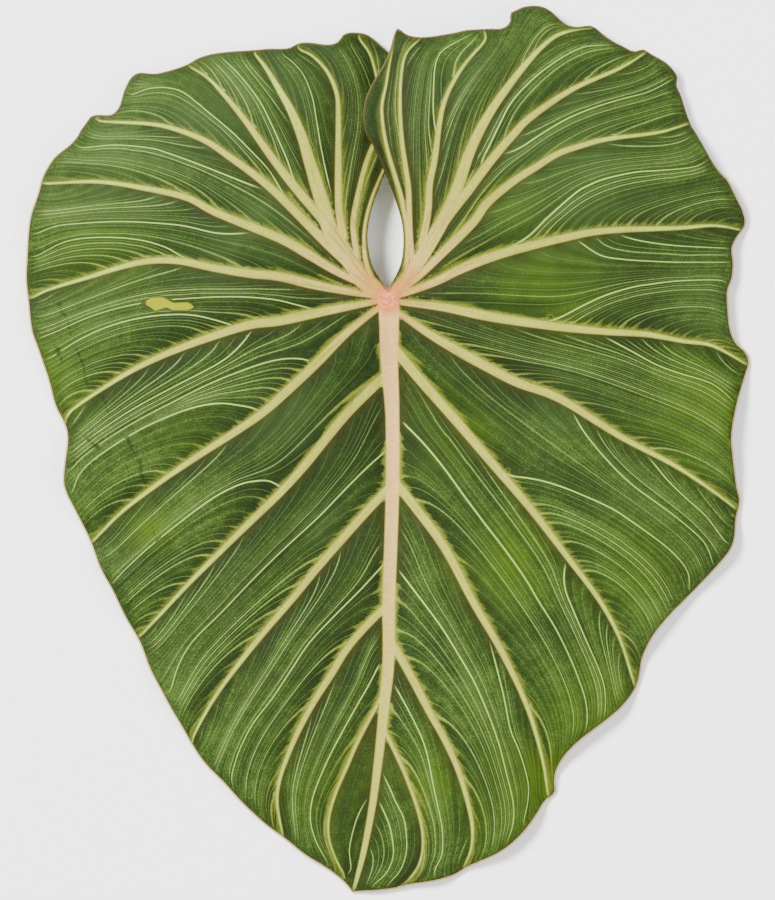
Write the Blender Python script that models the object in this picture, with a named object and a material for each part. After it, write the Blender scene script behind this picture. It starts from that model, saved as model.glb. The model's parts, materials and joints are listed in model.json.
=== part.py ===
# A picked heart-shaped philodendron leaf, lying face up as it rests on a table.
# It grew as one piece, so it is one solid: the waved blade, the ribs that stand
# out under it, and the short stub of the leaf stalk under the meeting of the ribs.
# The drawing is in millimetres with the meeting of the ribs at 0, 0 and the tip
# toward -Y. The finished solid is in metres, with its box centred on the origin.

import math

import bpy
import numpy as np
from mathutils import Vector
from mathutils.geometry import delaunay_2d_cdt

# Driving sizes, in millimetres
BLADE_THICKNESS = 0.8
RIB_DEPTH_SHARE = 0.42       # how far a rib stands out below, as a share of its width
RIB_CREST_SHARE = 0.10       # how far it stands out above
PLEAT_HEIGHT = 1.9           # how far the blade bulges up between two ribs
PLEAT_REACH = 8.0
WIDTH_TAPER = 1.6            # above 1, a side rib keeps its width until later
HUB_DEPTH = 4.2              # extra thickness where the ribs meet
HUB_RADIUS = 7.5
STATION_STEP = 7.6           # spacing of the mesh along a rib
FILL_STEP = 8.0              # spacing of the mesh between the ribs
FILL_CLEARANCE = 4.3
OUTLINE_CLEARANCE = 3.2
EVEN_RADIUS = 48.0           # within this of the rib meeting, thicknesses are evened out
STUB_RADIUS_TOP = 3.6
STUB_RADIUS_FOOT = 4.4
STUB_TOP = (0.0, -1.5, 12.0)
STUB_FOOT = (0.5, -13.5, 0.0)
STUB_SIDES = 24
REST_SPOT = (-84.0, -40.0)   # the stretch of the main rib that is flat underneath
REST_HALF_WIDTH = 1.8
LEAF_COLOUR = (0.075, 0.150, 0.035, 1.0)
LEAF_ROUGHNESS = 0.55
METRE = 0.001

APEX = (0.0, 4.5)
TIP = (-16.2, -267.3)

# Outline of the left half, from the notch above the rib meeting round to the tip.
# The stretch from (1, 61) to (4, 107) is hidden under the right lobe.
LEFT_OUTLINE = [
    (-3.7, 9.2), (-6.9, 14.7), (-8.7, 22), (-9.2, 29.4), (-7.8, 38.6), (-4.6, 48.7),
    (-2, 55.1), (1, 61), (4.2, 70), (6.5, 80), (7.2, 90), (6.4, 99), (4.2, 107),
    (0.5, 111.5), (-2.5, 114.2), (-5, 116.5), (-8, 119), (-11, 120.3), (-15, 120.7),
    (-18, 120.5), (-20.5, 119.2), (-22, 116.8), (-24, 115.5), (-27, 115), (-30, 115.3),
    (-36, 116.2), (-40.5, 115.8), (-45.5, 113.4), (-54, 113.3), (-60, 112.8), (-66, 112.4),
    (-72, 112), (-78, 111.3), (-82, 110.4), (-86, 109), (-90, 106.6), (-95, 104.5),
    (-100, 103), (-105, 102), (-112, 102.6), (-114.5, 101.5), (-116.5, 99.5), (-119, 94),
    (-121, 87), (-124, 83.8), (-127, 83.4), (-131, 83.7), (-134, 83), (-135.5, 81),
    (-138.5, 76.5), (-140, 73.5), (-143, 70), (-147, 67), (-150.5, 64), (-153.5, 60),
    (-156, 55.5), (-157.5, 50), (-159, 45), (-160.7, 40), (-161.8, 35), (-162.5, 28),
    (-163, 20), (-163.6, 9.5), (-162.6, 0), (-161, -13.2), (-158.3, -21.1), (-153.4, -35.6),
    (-150.4, -47.5), (-145.8, -56.8), (-144.8, -63.4), (-145.8, -72.6), (-146.5, -81.2),
    (-145.1, -87.1), (-141.2, -95), (-137.6, -102.3), (-134.1, -110), (-130.1, -120.6),
    (-124.2, -131.2), (-118.3, -143.7), (-112.3, -154.3), (-107.7, -166.1), (-102.4, -176),
    (-98.1, -184), (-93.6, -191.6), (-88.6, -200.7), (-82.8, -209.1), (-74.5, -217.4),
    (-67, -225.7), (-60, -232.5), (-55, -237), (-50, -240.8), (-45, -244.5), (-40, -248.5),
    (-35, -252), (-30, -255), (-25, -258.5), (-20, -262.7),
]

# Outline of the right half, from the same notch round to the tip.
RIGHT_OUTLINE = [
    (3.2, 10.1), (5.9, 16.5), (6.9, 24.8), (6.4, 33.1), (4.6, 40.4), (1.8, 48.7),
    (-0.9, 55.1), (-3.2, 60.6), (-6.9, 68.9), (-9.3, 72.5), (-10.6, 76.2), (-11.2, 81),
    (-11, 85), (-9.7, 90.7), (-6.6, 97.5), (-2.3, 104.7), (0.4, 110.7), (1.8, 115.7),
    (3, 120), (4.6, 122), (8.5, 118.9), (14, 117.8), (20, 118.2), (25, 119), (30, 119.8),
    (34, 120.8), (38, 121.2), (46, 121.5), (50, 121.4), (53, 122.6), (54.8, 125),
    (55, 129.0), (58, 130.6), (60, 131.8), (63, 132.6), (66, 132.9), (69, 132.6),
    (72, 131.3), (74.5, 129.4), (78, 125.7), (81, 123.6), (85, 122.9), (91, 123.7),
    (94, 122.3), (97.5, 119), (101, 116.4), (105.5, 114.2), (110.5, 112), (115, 113.2),
    (118.5, 111), (123, 108.3), (126, 106.3), (128.5, 103.8), (130.6, 100.3), (130, 96.8),
    (132.3, 91.5), (134.3, 85), (136.5, 79), (138.5, 75.5), (142.8, 68), (145.5, 63.2),
    (149.5, 57.8), (153, 54.5), (155.5, 50), (158, 45), (160.5, 40), (161.5, 34),
    (157.5, 28), (155.3, 23), (156, 16.5), (155.3, 9.5), (153.3, 4), (153.5, -4),
    (154.5, -13), (157, -18.8), (161.5, -23), (163.3, -28), (161.5, -34), (158, -45),
    (156, -54), (155, -61.9), (156, -72.5), (157.6, -83.7), (159.2, -90.5), (157.3, -98.9),
    (156.6, -106.8), (154, -113.4), (147.4, -121.3), (140.1, -129.2), (133.5, -135.9),
    (127.3, -142), (119.7, -151.4), (115.2, -161.1), (113.7, -170.1), (111.5, -176),
    (105.5, -183.5), (96.5, -191), (86.8, -198.4), (80.1, -205.2), (76.4, -211.9),
    (75.6, -217.1), (75.6, -222.3), (71.1, -226), (68.2, -230.5), (65.5, -234.5),
    (61.5, -239.5), (56, -245), (50, -249.3), (44, -252.3), (38.5, -254.8), (34.5, -256.8),
    (30.5, -259.3), (25, -261), (18.5, -262.5), (10, -263.8), (3, -265.5), (-3, -266.3),
    (-9, -266.8),
]

# Each rib is its points from base to end, then its width at the base and the end.
MAIN_RIB = [
    (0, 0), (0.5, -8), (0.6, -27), (2, -52), (2, -87), (0.4, -135), (0.4, -151.6),
    (0, -166.6), (-1.6, -181.6), (-3.3, -198.3), (-5, -212.4), (-6.6, -224.9),
    (-8.7, -237.4), (-11.6, -251.5), (-14.9, -264), TIP,
]
MAIN_RIB_WIDTH = [(-267, 1.4), (-251, 2.6), (-225, 3.4), (-198, 4.3), (-167, 5.4),
                  (-135, 6.0), (-52, 6.4), (-27, 8.0), (-8, 9.2), (5, 9.6)]
LEFT_RIBS = [
    ([(-2, 2), (-10.7, 8.2), (-17, 17.1), (-23.4, 26.5), (-27.1, 34.1), (-28.8, 40.8),
      (-32.1, 51.6), (-35.4, 62.4), (-38.7, 73.2), (-43.5, 84.6), (-48.9, 94.2),
      (-55, 104.4), (-60, 111)], 8.0, 1.3),
    ([(-10, 17), (-10.6, 26.6), (-9.7, 35.8), (-6.9, 45.9), (-3.2, 55.1), (1, 66),
      (3.5, 78), (4.2, 90), (2.5, 102)], 2.2, 1.0),
    ([(-14, 20), (-15.6, 31.2), (-15.2, 38.6), (-12.9, 49.6), (-10.6, 58.8), (-7.8, 67),
      (-5, 74), (-4, 85), (-4.3, 95), (-6, 104), (-8.5, 111.5), (-13, 118)], 2.6, 1.2),
    ([(-20, 28), (-21.9, 39), (-22.3, 50), (-22.3, 63), (-22.3, 81.6), (-23, 92.4),
      (-27.3, 102.6), (-34.2, 110), (-40, 113)], 3.4, 1.0),
    ([(-27, 33), (-32.7, 39.6), (-40.5, 48.6), (-49.5, 60), (-57.3, 70.8), (-65.1, 81.6),
      (-75, 93.6), (-81.8, 100.5), (-89, 105)], 4.2, 1.2),
    ([(-14, 12.5), (-26.5, 24), (-40, 37.5), (-50, 47.4), (-60, 55.8), (-70, 63), (-80, 70),
      (-90, 74.6), (-100, 77.8), (-110, 79.3), (-120, 79.9), (-131, 81)], 4.2, 1.3),
    ([(-6, 4), (-23.4, 12.6), (-36, 20.2), (-48.6, 27.2), (-77, 38.7), (-90, 45.5),
      (-108.6, 49.8), (-130, 53.1), (-152, 52.6)], 4.4, 1.4),
    ([(-3, 1), (-29.7, 5.7), (-48.6, 10.1), (-62.1, 11.4), (-79.8, 14.4), (-93, 17.1),
      (-106.2, 17.4), (-119.4, 14.8), (-132.6, 10.8), (-152.4, 4.9), (-161, 1)], 4.4, 1.4),
    ([(-3, -0.5), (-30, -5.7), (-49, -9.8), (-62.1, -11.5), (-79.8, -17), (-96.3, -23.1),
      (-109.5, -29), (-122.7, -36.3), (-142.5, -49.5), (-145.8, -56)], 4.6, 1.4),
    ([(-2, -2), (-17.8, -14.5), (-30.5, -27.1), (-43.1, -39.2), (-55.7, -50.5),
      (-68.4, -59.4), (-81, -67.5), (-99.6, -80), (-119.4, -95), (-134, -109.5)], 4.4, 1.4),
    ([(0, -33), (-8.4, -41), (-17.8, -50.5), (-27.3, -61.9), (-36.8, -73.9),
      (-48.1, -86.5), (-64.8, -102.8), (-87.9, -125.9), (-105.7, -145), (-113, -152.5)],
     4.2, 1.4),
    ([(1, -84), (-12, -98), (-30.6, -119.3), (-41.7, -133), (-61, -156), (-77, -177.4),
      (-86.9, -194.9), (-88.5, -200.4)], 3.8, 1.3),
    ([(0, -137), (-10.4, -147.5), (-18.7, -157.5), (-25.3, -168.3), (-33.7, -181.6),
      (-40.3, -194.1), (-45.3, -205.7), (-49.1, -217.4), (-49.9, -227.4), (-47.4, -241.5)],
     3.4, 1.2),
    ([(-3, -179), (-12.9, -197.4), (-18.7, -210.7), (-23.7, -222.4), (-26.6, -233.2),
      (-26.6, -242.4), (-23.7, -251.5), (-19.5, -260)], 1.8, 1.0),
]
RIGHT_RIBS = [
    ([(2, 2), (8.7, 9), (17, 22), (24, 34), (30.5, 48), (37.2, 67.2), (46.8, 85.2),
      (60.6, 103.8), (71.4, 115.5), (79.8, 120.3), (92, 122.5)], 6.4, 1.1),
    ([(8.5, 18), (7.8, 35.8), (5.9, 45.9), (3.2, 55.1), (-1, 70), (-2.8, 85), (-1, 95),
      (0.8, 106), (3.5, 120)], 2.2, 1.0),
    ([(11, 18), (9.6, 38.6), (9.2, 50), (7.8, 59.7), (6.3, 70.5), (5.4, 85), (6, 100.5),
      (8.4, 110.7), (14.7, 117)], 2.6, 1.0),
    ([(15.1, 24), (17.9, 38.6), (18.6, 50.7), (21, 62.7), (22.5, 74.7), (24.6, 86.1),
      (28.8, 96.3), (35.4, 106.5), (43.5, 116)], 3.2, 1.1),
    ([(22, 30), (28, 38.5), (35.2, 47.4), (41, 55.2), (48, 64.2), (56.4, 73.8),
      (64.2, 81.6), (82.8, 94.2), (104.4, 104.1), (116, 111.5)], 4.4, 1.3),
    ([(5, 3), (14.5, 10.8), (27.2, 23.4), (38.5, 34.7), (44.5, 43), (56.4, 52.8),
      (66, 58.8), (75.6, 64.8), (86.4, 68.6), (98.4, 71.8), (121.8, 75.2), (136, 80)],
     4.4, 1.4),
    ([(3, 1), (20.8, 7.6), (33.5, 13.9), (50.4, 20.2), (77.4, 27.1), (98, 30.8),
      (130, 32.2), (147, 33.5), (160.5, 31.5)], 4.6, 1.4),
    ([(3, -1), (25, -3.6), (43.1, -7.3), (61.2, -10.3), (79.2, -12.7), (98, -14.5),
      (116, -15.6), (132.5, -18.5), (146.3, -20.6), (162, -29)], 4.6, 1.4),
    ([(2, -4), (16, -13.9), (28, -21.2), (43.1, -29.6), (58.1, -37.4), (77, -44.5),
      (103.8, -61.2), (128.9, -74.5), (148.7, -87.7), (158, -95)], 4.6, 1.4),
    ([(2, -20), (13, -34.4), (31, -55), (47.1, -74), (64.3, -94.3), (81.4, -116.7),
      (95.3, -135.5), (104.2, -152), (109.9, -169.3), (111.5, -174.5)], 4.4, 1.4),
    ([(3, -82), (10.8, -91.6), (25.3, -111.4), (38.3, -136), (51.8, -159.6),
      (63, -184.2), (69.7, -207.4), (72.3, -224)], 4.0, 1.3),
    ([(1, -153), (10, -169), (18.9, -186), (26, -199), (32.4, -214.1), (37.6, -234.2),
      (37.5, -247), (34, -256)], 3.6, 1.2),
    ([(-2, -193), (4.6, -206.6), (8.8, -216.5), (13.5, -230), (15.7, -242), (14.5, -253),
      (9.5, -261), (4, -265)], 1.8, 1.0),
]

# Height of the upper face along the main rib, and at places of each half.
MAIN_RIB_HEIGHT = [(-267.3, 1.3), (-255, 2.6), (-240, 4.6), (-212, 6.8), (-180, 6.4),
                   (-150, 4.8), (-120, 4.0), (-84, 3.9), (-64, 3.9), (-44, 4.3),
                   (-28, 7.2), (-12, 11.4), (0, 14.0), (4.5, 14.6)]
LEFT_HEIGHTS = [
    (-20, 3, 15), (-40, 0, 17), (-80, 5, 16.5), (-120, 8, 11.5), (-150, 5, 5.5), (-163, 9, 2),
    (-162, -2, 3.4), (-153, -36, 2.2), (-150, -47, 0.9), (-145, -63, 3.4), (-146, -81, 5.6),
    (-136, -105, 1.4), (-124, -131, 4.6), (-112, -154, 1.2), (-98, -184, 4.4), (-83, -209, 1.0),
    (-67, -226, 3.0), (-50, -241, 1.2), (-35, -252, 2.6), (-22, -261, 1.4),
    (-20, -20, 14), (-45, -35, 14.5), (-85, -45, 14.5), (-115, -65, 9.5), (-130, -30, 8.5),
    (-25, -80, 9), (-50, -90, 13), (-85, -105, 11), (-40, -150, 10.5), (-70, -150, 10),
    (-30, -200, 9), (-55, -205, 7.5), (-25, -235, 6.0),
    (-9, 22, 15.5), (-9, 38, 14.5), (-3, 55, 12.5), (3, 68, 10.5), (7, 85, 8.5), (6, 100, 6.0),
    (1, 111, 5.0), (-15, 120.5, 5.5), (-25, 115, 7.0), (-40, 116, 4.5), (-22, 60, 17.0),
    (-20, 90, 12.5), (-60, 112.5, 5.5), (-78, 111, 3.0), (-95, 104, 6.0), (-112, 102, 3.2),
    (-121, 87, 7.0), (-132, 83.5, 2.6), (-143, 70, 6.5), (-156, 55, 3.0), (-161.5, 36, 4.8),
    (-40, 30, 20), (-50, 70, 20), (-85, 60, 18.5), (-95, 88, 11), (-120, 60, 12.5),
    (-145, 45, 7.5), (-60, 95, 13.5), (-40, 98, 13), (-100, 30, 15),
]
RIGHT_HEIGHTS = [
    (20, 2, 15.5), (40, 2, 17), (80, 8, 17), (120, 8, 12.5), (146, 8, 6.5), (153.5, 3, 3.4),
    (156, 15, 3.0), (155.5, 24, 4.6), (161.4, 35, 2.0), (158, 45, 4.4), (154.5, -13, 4.0),
    (163, -28, 0.9), (158, -45, 4.6), (155, -62, 6.4), (157.6, -84, 3.2), (159, -92, 1.4),
    (154, -113, 5.0), (138, -131, 2.2), (120, -151, 4.6), (114, -168, 1.2), (105, -184, 4.2),
    (88, -197.5, 5.0), (76, -219, 0.9), (66, -234, 4.2), (50, -249, 4.8), (35, -256.5, 1.8),
    (18, -262.5, 3.6), (-3, -266, 2.0),
    (25, -25, 14), (50, -40, 15), (90, -45, 15.5), (125, -60, 10.5), (135, -25, 9.5),
    (25, -80, 9.5), (60, -105, 13), (100, -110, 11.5), (130, -100, 8.0), (40, -150, 10.5),
    (75, -160, 10.5), (95, -165, 7.5), (25, -200, 8.6), (50, -215, 8.5), (18, -245, 6.0),
    (7, 22, 17), (6, 38, 20), (-0.9, 55, 22.0), (-7, 69, 22.5), (-11, 82, 21.0),
    (-7, 97, 18.5), (0.5, 111, 16.0), (4.5, 122, 13.5), (14, 118, 15.5), (25, 119, 12.5),
    (38, 121, 15.0), (50, 121, 16.5), (55, 127, 10.0), (66, 132.5, 2.2), (76, 128, 5.5),
    (85, 123, 10.0), (92, 123.5, 6.0), (105, 114.5, 9.0), (115, 113, 4.2), (124, 107.5, 7.5),
    (130.5, 99, 2.4), (135, 83, 5.0), (142, 69, 7.0), (151, 56, 3.6),
    (15, 45, 24), (10, 75, 25.5), (2, 80, 24), (12, 98, 22), (30, 95, 24), (42, 30, 21),
    (45, 60, 25.5), (55, 95, 22.5), (62, 114, 17.5), (75, 70, 22.5), (85, 100, 17),
    (85, 35, 19), (108, 90, 14), (118, 60, 15), (140, 45, 9.5), (126, 34, 12.5),
]


def along(points, step):
    """Points spaced evenly along an open line, its two ends kept."""
    line = np.array(points, dtype=float)
    runs = np.hypot(*np.diff(line, axis=0).T)
    travelled = np.concatenate([[0.0], np.cumsum(runs)])
    count = max(2, int(round(travelled[-1] / step)) + 1)
    places = np.linspace(0.0, travelled[-1], count)
    return np.column_stack([np.interp(places, travelled, line[:, i]) for i in (0, 1)])


def rounded(points):
    """The same open line with extra points that turn its corners gently."""
    line = np.array(points, dtype=float)
    padded = np.vstack([2 * line[0] - line[1], line, 2 * line[-1] - line[-2]])
    out = []
    for i in range(1, len(padded) - 2):
        a, b, c, d = padded[i - 1:i + 3]
        for t in (0.0, 0.25, 0.5, 0.75):
            out.append(0.5 * (2 * b + (c - a) * t + (2 * a - 5 * b + 4 * c - d) * t * t
                              + (3 * b - a - 3 * c + d) * t ** 3))
    out.append(line[-1])
    return np.array(out)


def nearest_on(line, places):
    """Distance of each place from a line, and how far along it the nearest point is."""
    starts, ends = line[:-1], line[1:]
    span = ends - starts
    square = (span ** 2).sum(1)
    offset = places[:, None, :] - starts[None, :, :]
    t = np.clip((offset * span).sum(2) / square, 0.0, 1.0)
    gap = np.hypot(*(offset - t[..., None] * span).transpose(2, 0, 1))
    best = gap.argmin(1)
    rows = np.arange(len(places))
    lengths = np.sqrt(square)
    before = np.concatenate([[0.0], np.cumsum(lengths)[:-1]])
    return gap[rows, best], (before[best] + t[rows, best] * lengths[best]) / lengths.sum()


def inside(loop, places):
    """True for each place that lies within the closed loop."""
    x, y = places[:, 0][:, None], places[:, 1][:, None]
    ax, ay = loop[:, 0], loop[:, 1]
    bx, by = np.roll(ax, -1), np.roll(ay, -1)
    spans = (ay > y) != (by > y)
    rise = np.where(by == ay, 1e-9, by - ay)
    crossing = spans & (x < (bx - ax) * (y - ay) / rise + ax)
    return crossing.sum(1) % 2 == 1


def surface_through(places):
    """A smooth height function through places given as x, y and height."""
    data = np.array(places, dtype=float)
    knots, heights = data[:, :2] / 100.0, data[:, 2]
    count = len(knots)

    def bend(points):
        square = ((points[:, None, :] - knots[None, :, :]) ** 2).sum(2)
        return 0.5 * square * np.log(square + 1e-12)

    level = np.column_stack([np.ones(count), knots])
    system = np.zeros((count + 3, count + 3))
    system[:count, :count] = bend(knots) + 0.004 * np.eye(count)
    system[:count, count:] = level
    system[count:, :count] = level.T
    weights = np.linalg.solve(system, np.concatenate([heights, np.zeros(3)]))

    def height(points):
        scaled = np.asarray(points, dtype=float) / 100.0
        flat = np.column_stack([np.ones(len(scaled)), scaled])
        return bend(scaled) @ weights[:count] + flat @ weights[count:]

    return height


def rib_height(y):
    table = np.array(MAIN_RIB_HEIGHT)
    return np.interp(y, table[:, 0], table[:, 1])


def rib_width(y):
    table = np.array(MAIN_RIB_WIDTH)
    return np.interp(y, table[:, 0], table[:, 1])


def side_width(base, end, share, start=1.0):
    """Width of a side rib, where start is how much of it is there at its very base."""
    full = base + (end - base) * share ** WIDTH_TAPER
    return full * (start + (1.0 - start) * np.clip(share / 0.22, 0.0, 1.0))


def start_share(line, base):
    """A side rib that comes from the meeting of the ribs starts narrow."""
    return 0.5 if math.hypot(line[0][0], line[0][1]) < 8.0 and base < 6.0 else 1.0


MAIN_LINE = rounded(MAIN_RIB)
RIB_PLACES = [(x, y, float(rib_height(y))) for x, y in along(MAIN_LINE, 14.0)]


class Half:
    """One side of the main rib: its outline, ribs, height and thickness."""

    def __init__(self, outline, ribs, heights):
        self.outline = np.array(outline, dtype=float)
        self.ribs = [(rounded(points), base, end) for points, base, end in ribs]
        self.shape = surface_through(RIB_PLACES + heights + [(APEX[0], APEX[1], 14.6)])

    def rib_measures(self, places):
        """Distance to the nearest side rib, and the depth of rib at each place."""
        nearest = np.full(len(places), 1e9)
        depth = np.zeros(len(places))
        for line, base, end in self.ribs:
            gap, share = nearest_on(line, places)
            width = side_width(base, end, share, start_share(line, base))
            nearest = np.minimum(nearest, gap)
            bump = np.clip(1.0 - (gap / (0.62 * width + 0.25)) ** 2, 0.0, 1.0)
            depth = np.maximum(depth, width * bump)
        return nearest, depth

    def top_and_thickness(self, places):
        """Height of the upper face and thickness of the leaf at each place."""
        places = np.asarray(places, dtype=float)
        from_side, side_depth = self.rib_measures(places)
        from_main, share = nearest_on(MAIN_LINE, places)
        y = places[:, 1]
        width = rib_width(y)
        main_bump = np.clip(1.0 - (from_main / (0.62 * width + 0.25)) ** 2, 0.0, 1.0)
        depth = np.maximum(side_depth, width * main_bump)
        height = self.shape(places)
        on_line = np.column_stack([np.interp(-y, -MAIN_LINE[:, 1], MAIN_LINE[:, 0]), y])
        seam = rib_height(y) - self.shape(on_line)
        beside = np.abs(places[:, 0] - on_line[:, 0])
        height += np.where(y < 6.0, seam * np.exp(-(beside / 14.0) ** 2), 0.0)
        nearest = np.minimum(from_side, from_main)
        height += PLEAT_HEIGHT * (1.0 - np.exp(-(nearest / PLEAT_REACH) ** 2))
        height += RIB_CREST_SHARE * depth
        hub = np.exp(-(np.hypot(places[:, 0], y + 1.0) / HUB_RADIUS) ** 2)
        thickness = BLADE_THICKNESS + RIB_DEPTH_SHARE * depth + HUB_DEPTH * hub
        return height, thickness

    def mesh_places(self, seam):
        """The drawing's points: outline and seam first, then rib and fill points."""
        loop = np.vstack([seam, self.outline[::-1]])
        taken = [loop]
        spines = []

        def far_enough(point, clearance, edge_clearance):
            if not inside(loop, point[None, :])[0]:
                return False
            if nearest_on(np.vstack([loop, loop[:1]]), point[None, :])[0][0] < edge_clearance:
                return False
            rest = np.vstack(taken)
            return np.hypot(*(rest - point).T).min() >= clearance

        def beside(stations, reach, i):
            heading = stations[min(i + 1, len(stations) - 1)] - stations[max(i - 1, 0)]
            across = np.array([-heading[1], heading[0]]) / math.hypot(*heading)
            group = [stations[i] + way * reach * across for way in (-1.0, 1.0)]
            return [point for point in group if far_enough(point, 1.5, 1.2)]

        for i in range(1, len(seam) - 2):
            group = beside(seam, 0.62 * rib_width(seam[i, 1]) + 0.3, i)
            if REST_SPOT[0] < seam[i, 1] < REST_SPOT[1]:
                group += beside(seam, REST_HALF_WIDTH, i)
            if group:
                taken.append(np.array(group))
        for line, base, end in self.ribs:
            stations = along(line, STATION_STEP)
            share = np.linspace(0.0, 1.0, len(stations))
            width = side_width(base, end, share, start_share(line, base))
            reach = np.maximum(0.62 * width + 0.3, 1.7)
            last = None
            for i, centre in enumerate(stations):
                if not far_enough(centre, 2.6, 1.5):
                    last = None
                    continue
                number = sum(len(group) for group in taken)
                taken.append(centre[None, :])
                if last is not None:
                    spines.append((last, number))
                last = number
                group = beside(stations, reach[i], i)
                if group:
                    taken.append(np.array(group))
        low, high = loop.min(0), loop.max(0)
        row = 0
        y = low[1]
        while y < high[1]:
            shift = 0.5 * FILL_STEP * (row % 2)
            for x in np.arange(low[0] + shift, high[0], FILL_STEP):
                point = np.array([x, y])
                if far_enough(point, FILL_CLEARANCE, OUTLINE_CLEARANCE):
                    taken.append(point[None, :])
            y += FILL_STEP * math.sqrt(0.75)
            row += 1
        return np.vstack(taken), len(loop), spines

    def triangles(self, seam):
        places, rim, spines = self.mesh_places(seam)
        edges = [(i, (i + 1) % rim) for i in range(rim)] + spines
        flat = [Vector((float(x), float(y))) for x, y in places]
        verts, _, faces, _, _, _ = delaunay_2d_cdt(flat, edges, [], 1, 1e-5)
        points = np.array([(v.x, v.y) for v in verts])
        middles = np.array([points[list(f)].mean(0) for f in faces])
        kept = inside(places[:rim], middles)
        return points, [tuple(f) for f, keep in zip(faces, kept) if keep]


def facing_up(points, face):
    a, b, c = (points[i] for i in face)
    return (b[0] - a[0]) * (c[1] - a[1]) - (b[1] - a[1]) * (c[0] - a[0]) > 0


def build_sheet(halves, seam):
    """The upper face of both halves, joined along the main rib."""
    places, thickness, faces = [], [], []
    seam_index = {}
    for half in halves:
        points, triangles = half.triangles(seam)
        height, thick = half.top_and_thickness(points)
        gap, _ = nearest_on(seam, points)
        index = []
        for i, (x, y) in enumerate(points):
            key = (round(x, 3), round(y, 3)) if gap[i] < 1e-4 else None
            if key in seam_index and key is not None:
                index.append(seam_index[key])
                continue
            index.append(len(places))
            if key is not None:
                seam_index[key] = len(places)
            places.append((x, y, height[i]))
            thickness.append(thick[i])
        for face in triangles:
            turned = face if facing_up(points, face) else face[::-1]
            faces.append(tuple(index[i] for i in turned))
    return np.array(places), np.array(thickness), faces


def corner_normals(places, faces):
    corners = np.array(faces)
    a, b, c = (places[corners[:, i]] for i in range(3))
    face_normals = np.cross(b - a, c - a)
    total = np.zeros_like(places)
    for i in range(3):
        np.add.at(total, corners[:, i], face_normals)
    return total / np.linalg.norm(total, axis=1)[:, None]


def evened(places, thickness, faces):
    """Thickness near the rib meeting, averaged with each corner's neighbours."""
    near = np.hypot(places[:, 0], places[:, 1]) < EVEN_RADIUS
    pairs = np.array([(f[i], f[(i + 1) % 3]) for f in faces for i in range(3)])
    pairs = np.vstack([pairs, pairs[:, ::-1]])
    for _ in range(2):
        total = np.zeros(len(places))
        count = np.zeros(len(places))
        np.add.at(total, pairs[:, 0], thickness[pairs[:, 1]])
        np.add.at(count, pairs[:, 0], 1.0)
        thickness = np.where(near, 0.5 * thickness + 0.5 * total / count, thickness)
    return thickness


def rim_edges(faces):
    """The edges that have a face on one side only, in that face's direction."""
    seen = set()
    for face in faces:
        for i in range(3):
            seen.add((face[i], face[(i + 1) % 3]))
    return [edge for edge in seen if (edge[1], edge[0]) not in seen]


def thicken(places, thickness, faces):
    """A closed solid between the upper face and the same face moved inward."""
    count = len(places)
    under = places - thickness[:, None] * corner_normals(places, faces)
    low, high = REST_SPOT
    on_line = np.interp(-places[:, 1], -MAIN_LINE[:, 1], MAIN_LINE[:, 0])
    beside = np.abs(places[:, 0] - on_line)
    spot = (places[:, 1] > low) & (places[:, 1] < high) & (beside < REST_HALF_WIDTH + 0.3)
    under[spot, :2] = places[spot, :2]
    under[spot, 2] = 0.0
    under[:, 2] = np.maximum(under[:, 2], 0.0)
    solid = [tuple(f) for f in faces]
    solid += [tuple(i + count for i in f[::-1]) for f in faces]
    for a, b in sorted(rim_edges(faces)):
        solid.append((b, a, a + count))
        solid.append((b, a + count, b + count))
    return np.vstack([places, under]), solid


def mesh_object(name, points, faces, collection):
    mesh = bpy.data.meshes.new(name)
    mesh.from_pydata([tuple(p) for p in points], [], faces)
    mesh.update()
    made = bpy.data.objects.new(name, mesh)
    collection.objects.link(made)
    return made


def stalk_stub(collection, shift):
    """The cut stalk: a leaning round post with a flat foot on the table."""
    top, foot = np.array(STUB_TOP), np.array(STUB_FOOT)
    points, faces = [], []
    rings = 5
    for r in range(rings):
        share = r / (rings - 1)
        centre = top + (foot - top) * share + shift
        radius = STUB_RADIUS_TOP + (STUB_RADIUS_FOOT - STUB_RADIUS_TOP) * share
        for s in range(STUB_SIDES):
            turn = 2 * math.pi * s / STUB_SIDES
            points.append(centre + radius * np.array([math.cos(turn), math.sin(turn) * 1.1, 0]))
    for r in range(rings - 1):
        for s in range(STUB_SIDES):
            a = r * STUB_SIDES + s
            b = r * STUB_SIDES + (s + 1) % STUB_SIDES
            faces.append((b, a, a + STUB_SIDES, b + STUB_SIDES))
    faces.append(tuple(range(STUB_SIDES)))
    faces.append(tuple(reversed(range((rings - 1) * STUB_SIDES, rings * STUB_SIDES))))
    return mesh_object("stalk_stub", np.array(points) * METRE, faces, collection)


def leaf_material():
    material = bpy.data.materials.new("leaf_green")
    material.use_nodes = True
    shader = material.node_tree.nodes["Principled BSDF"]
    shader.inputs["Base Color"].default_value = LEAF_COLOUR
    shader.inputs["Roughness"].default_value = LEAF_ROUGHNESS
    shader.inputs["Metallic"].default_value = 0.0
    material.diffuse_color = LEAF_COLOUR
    return material


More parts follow.
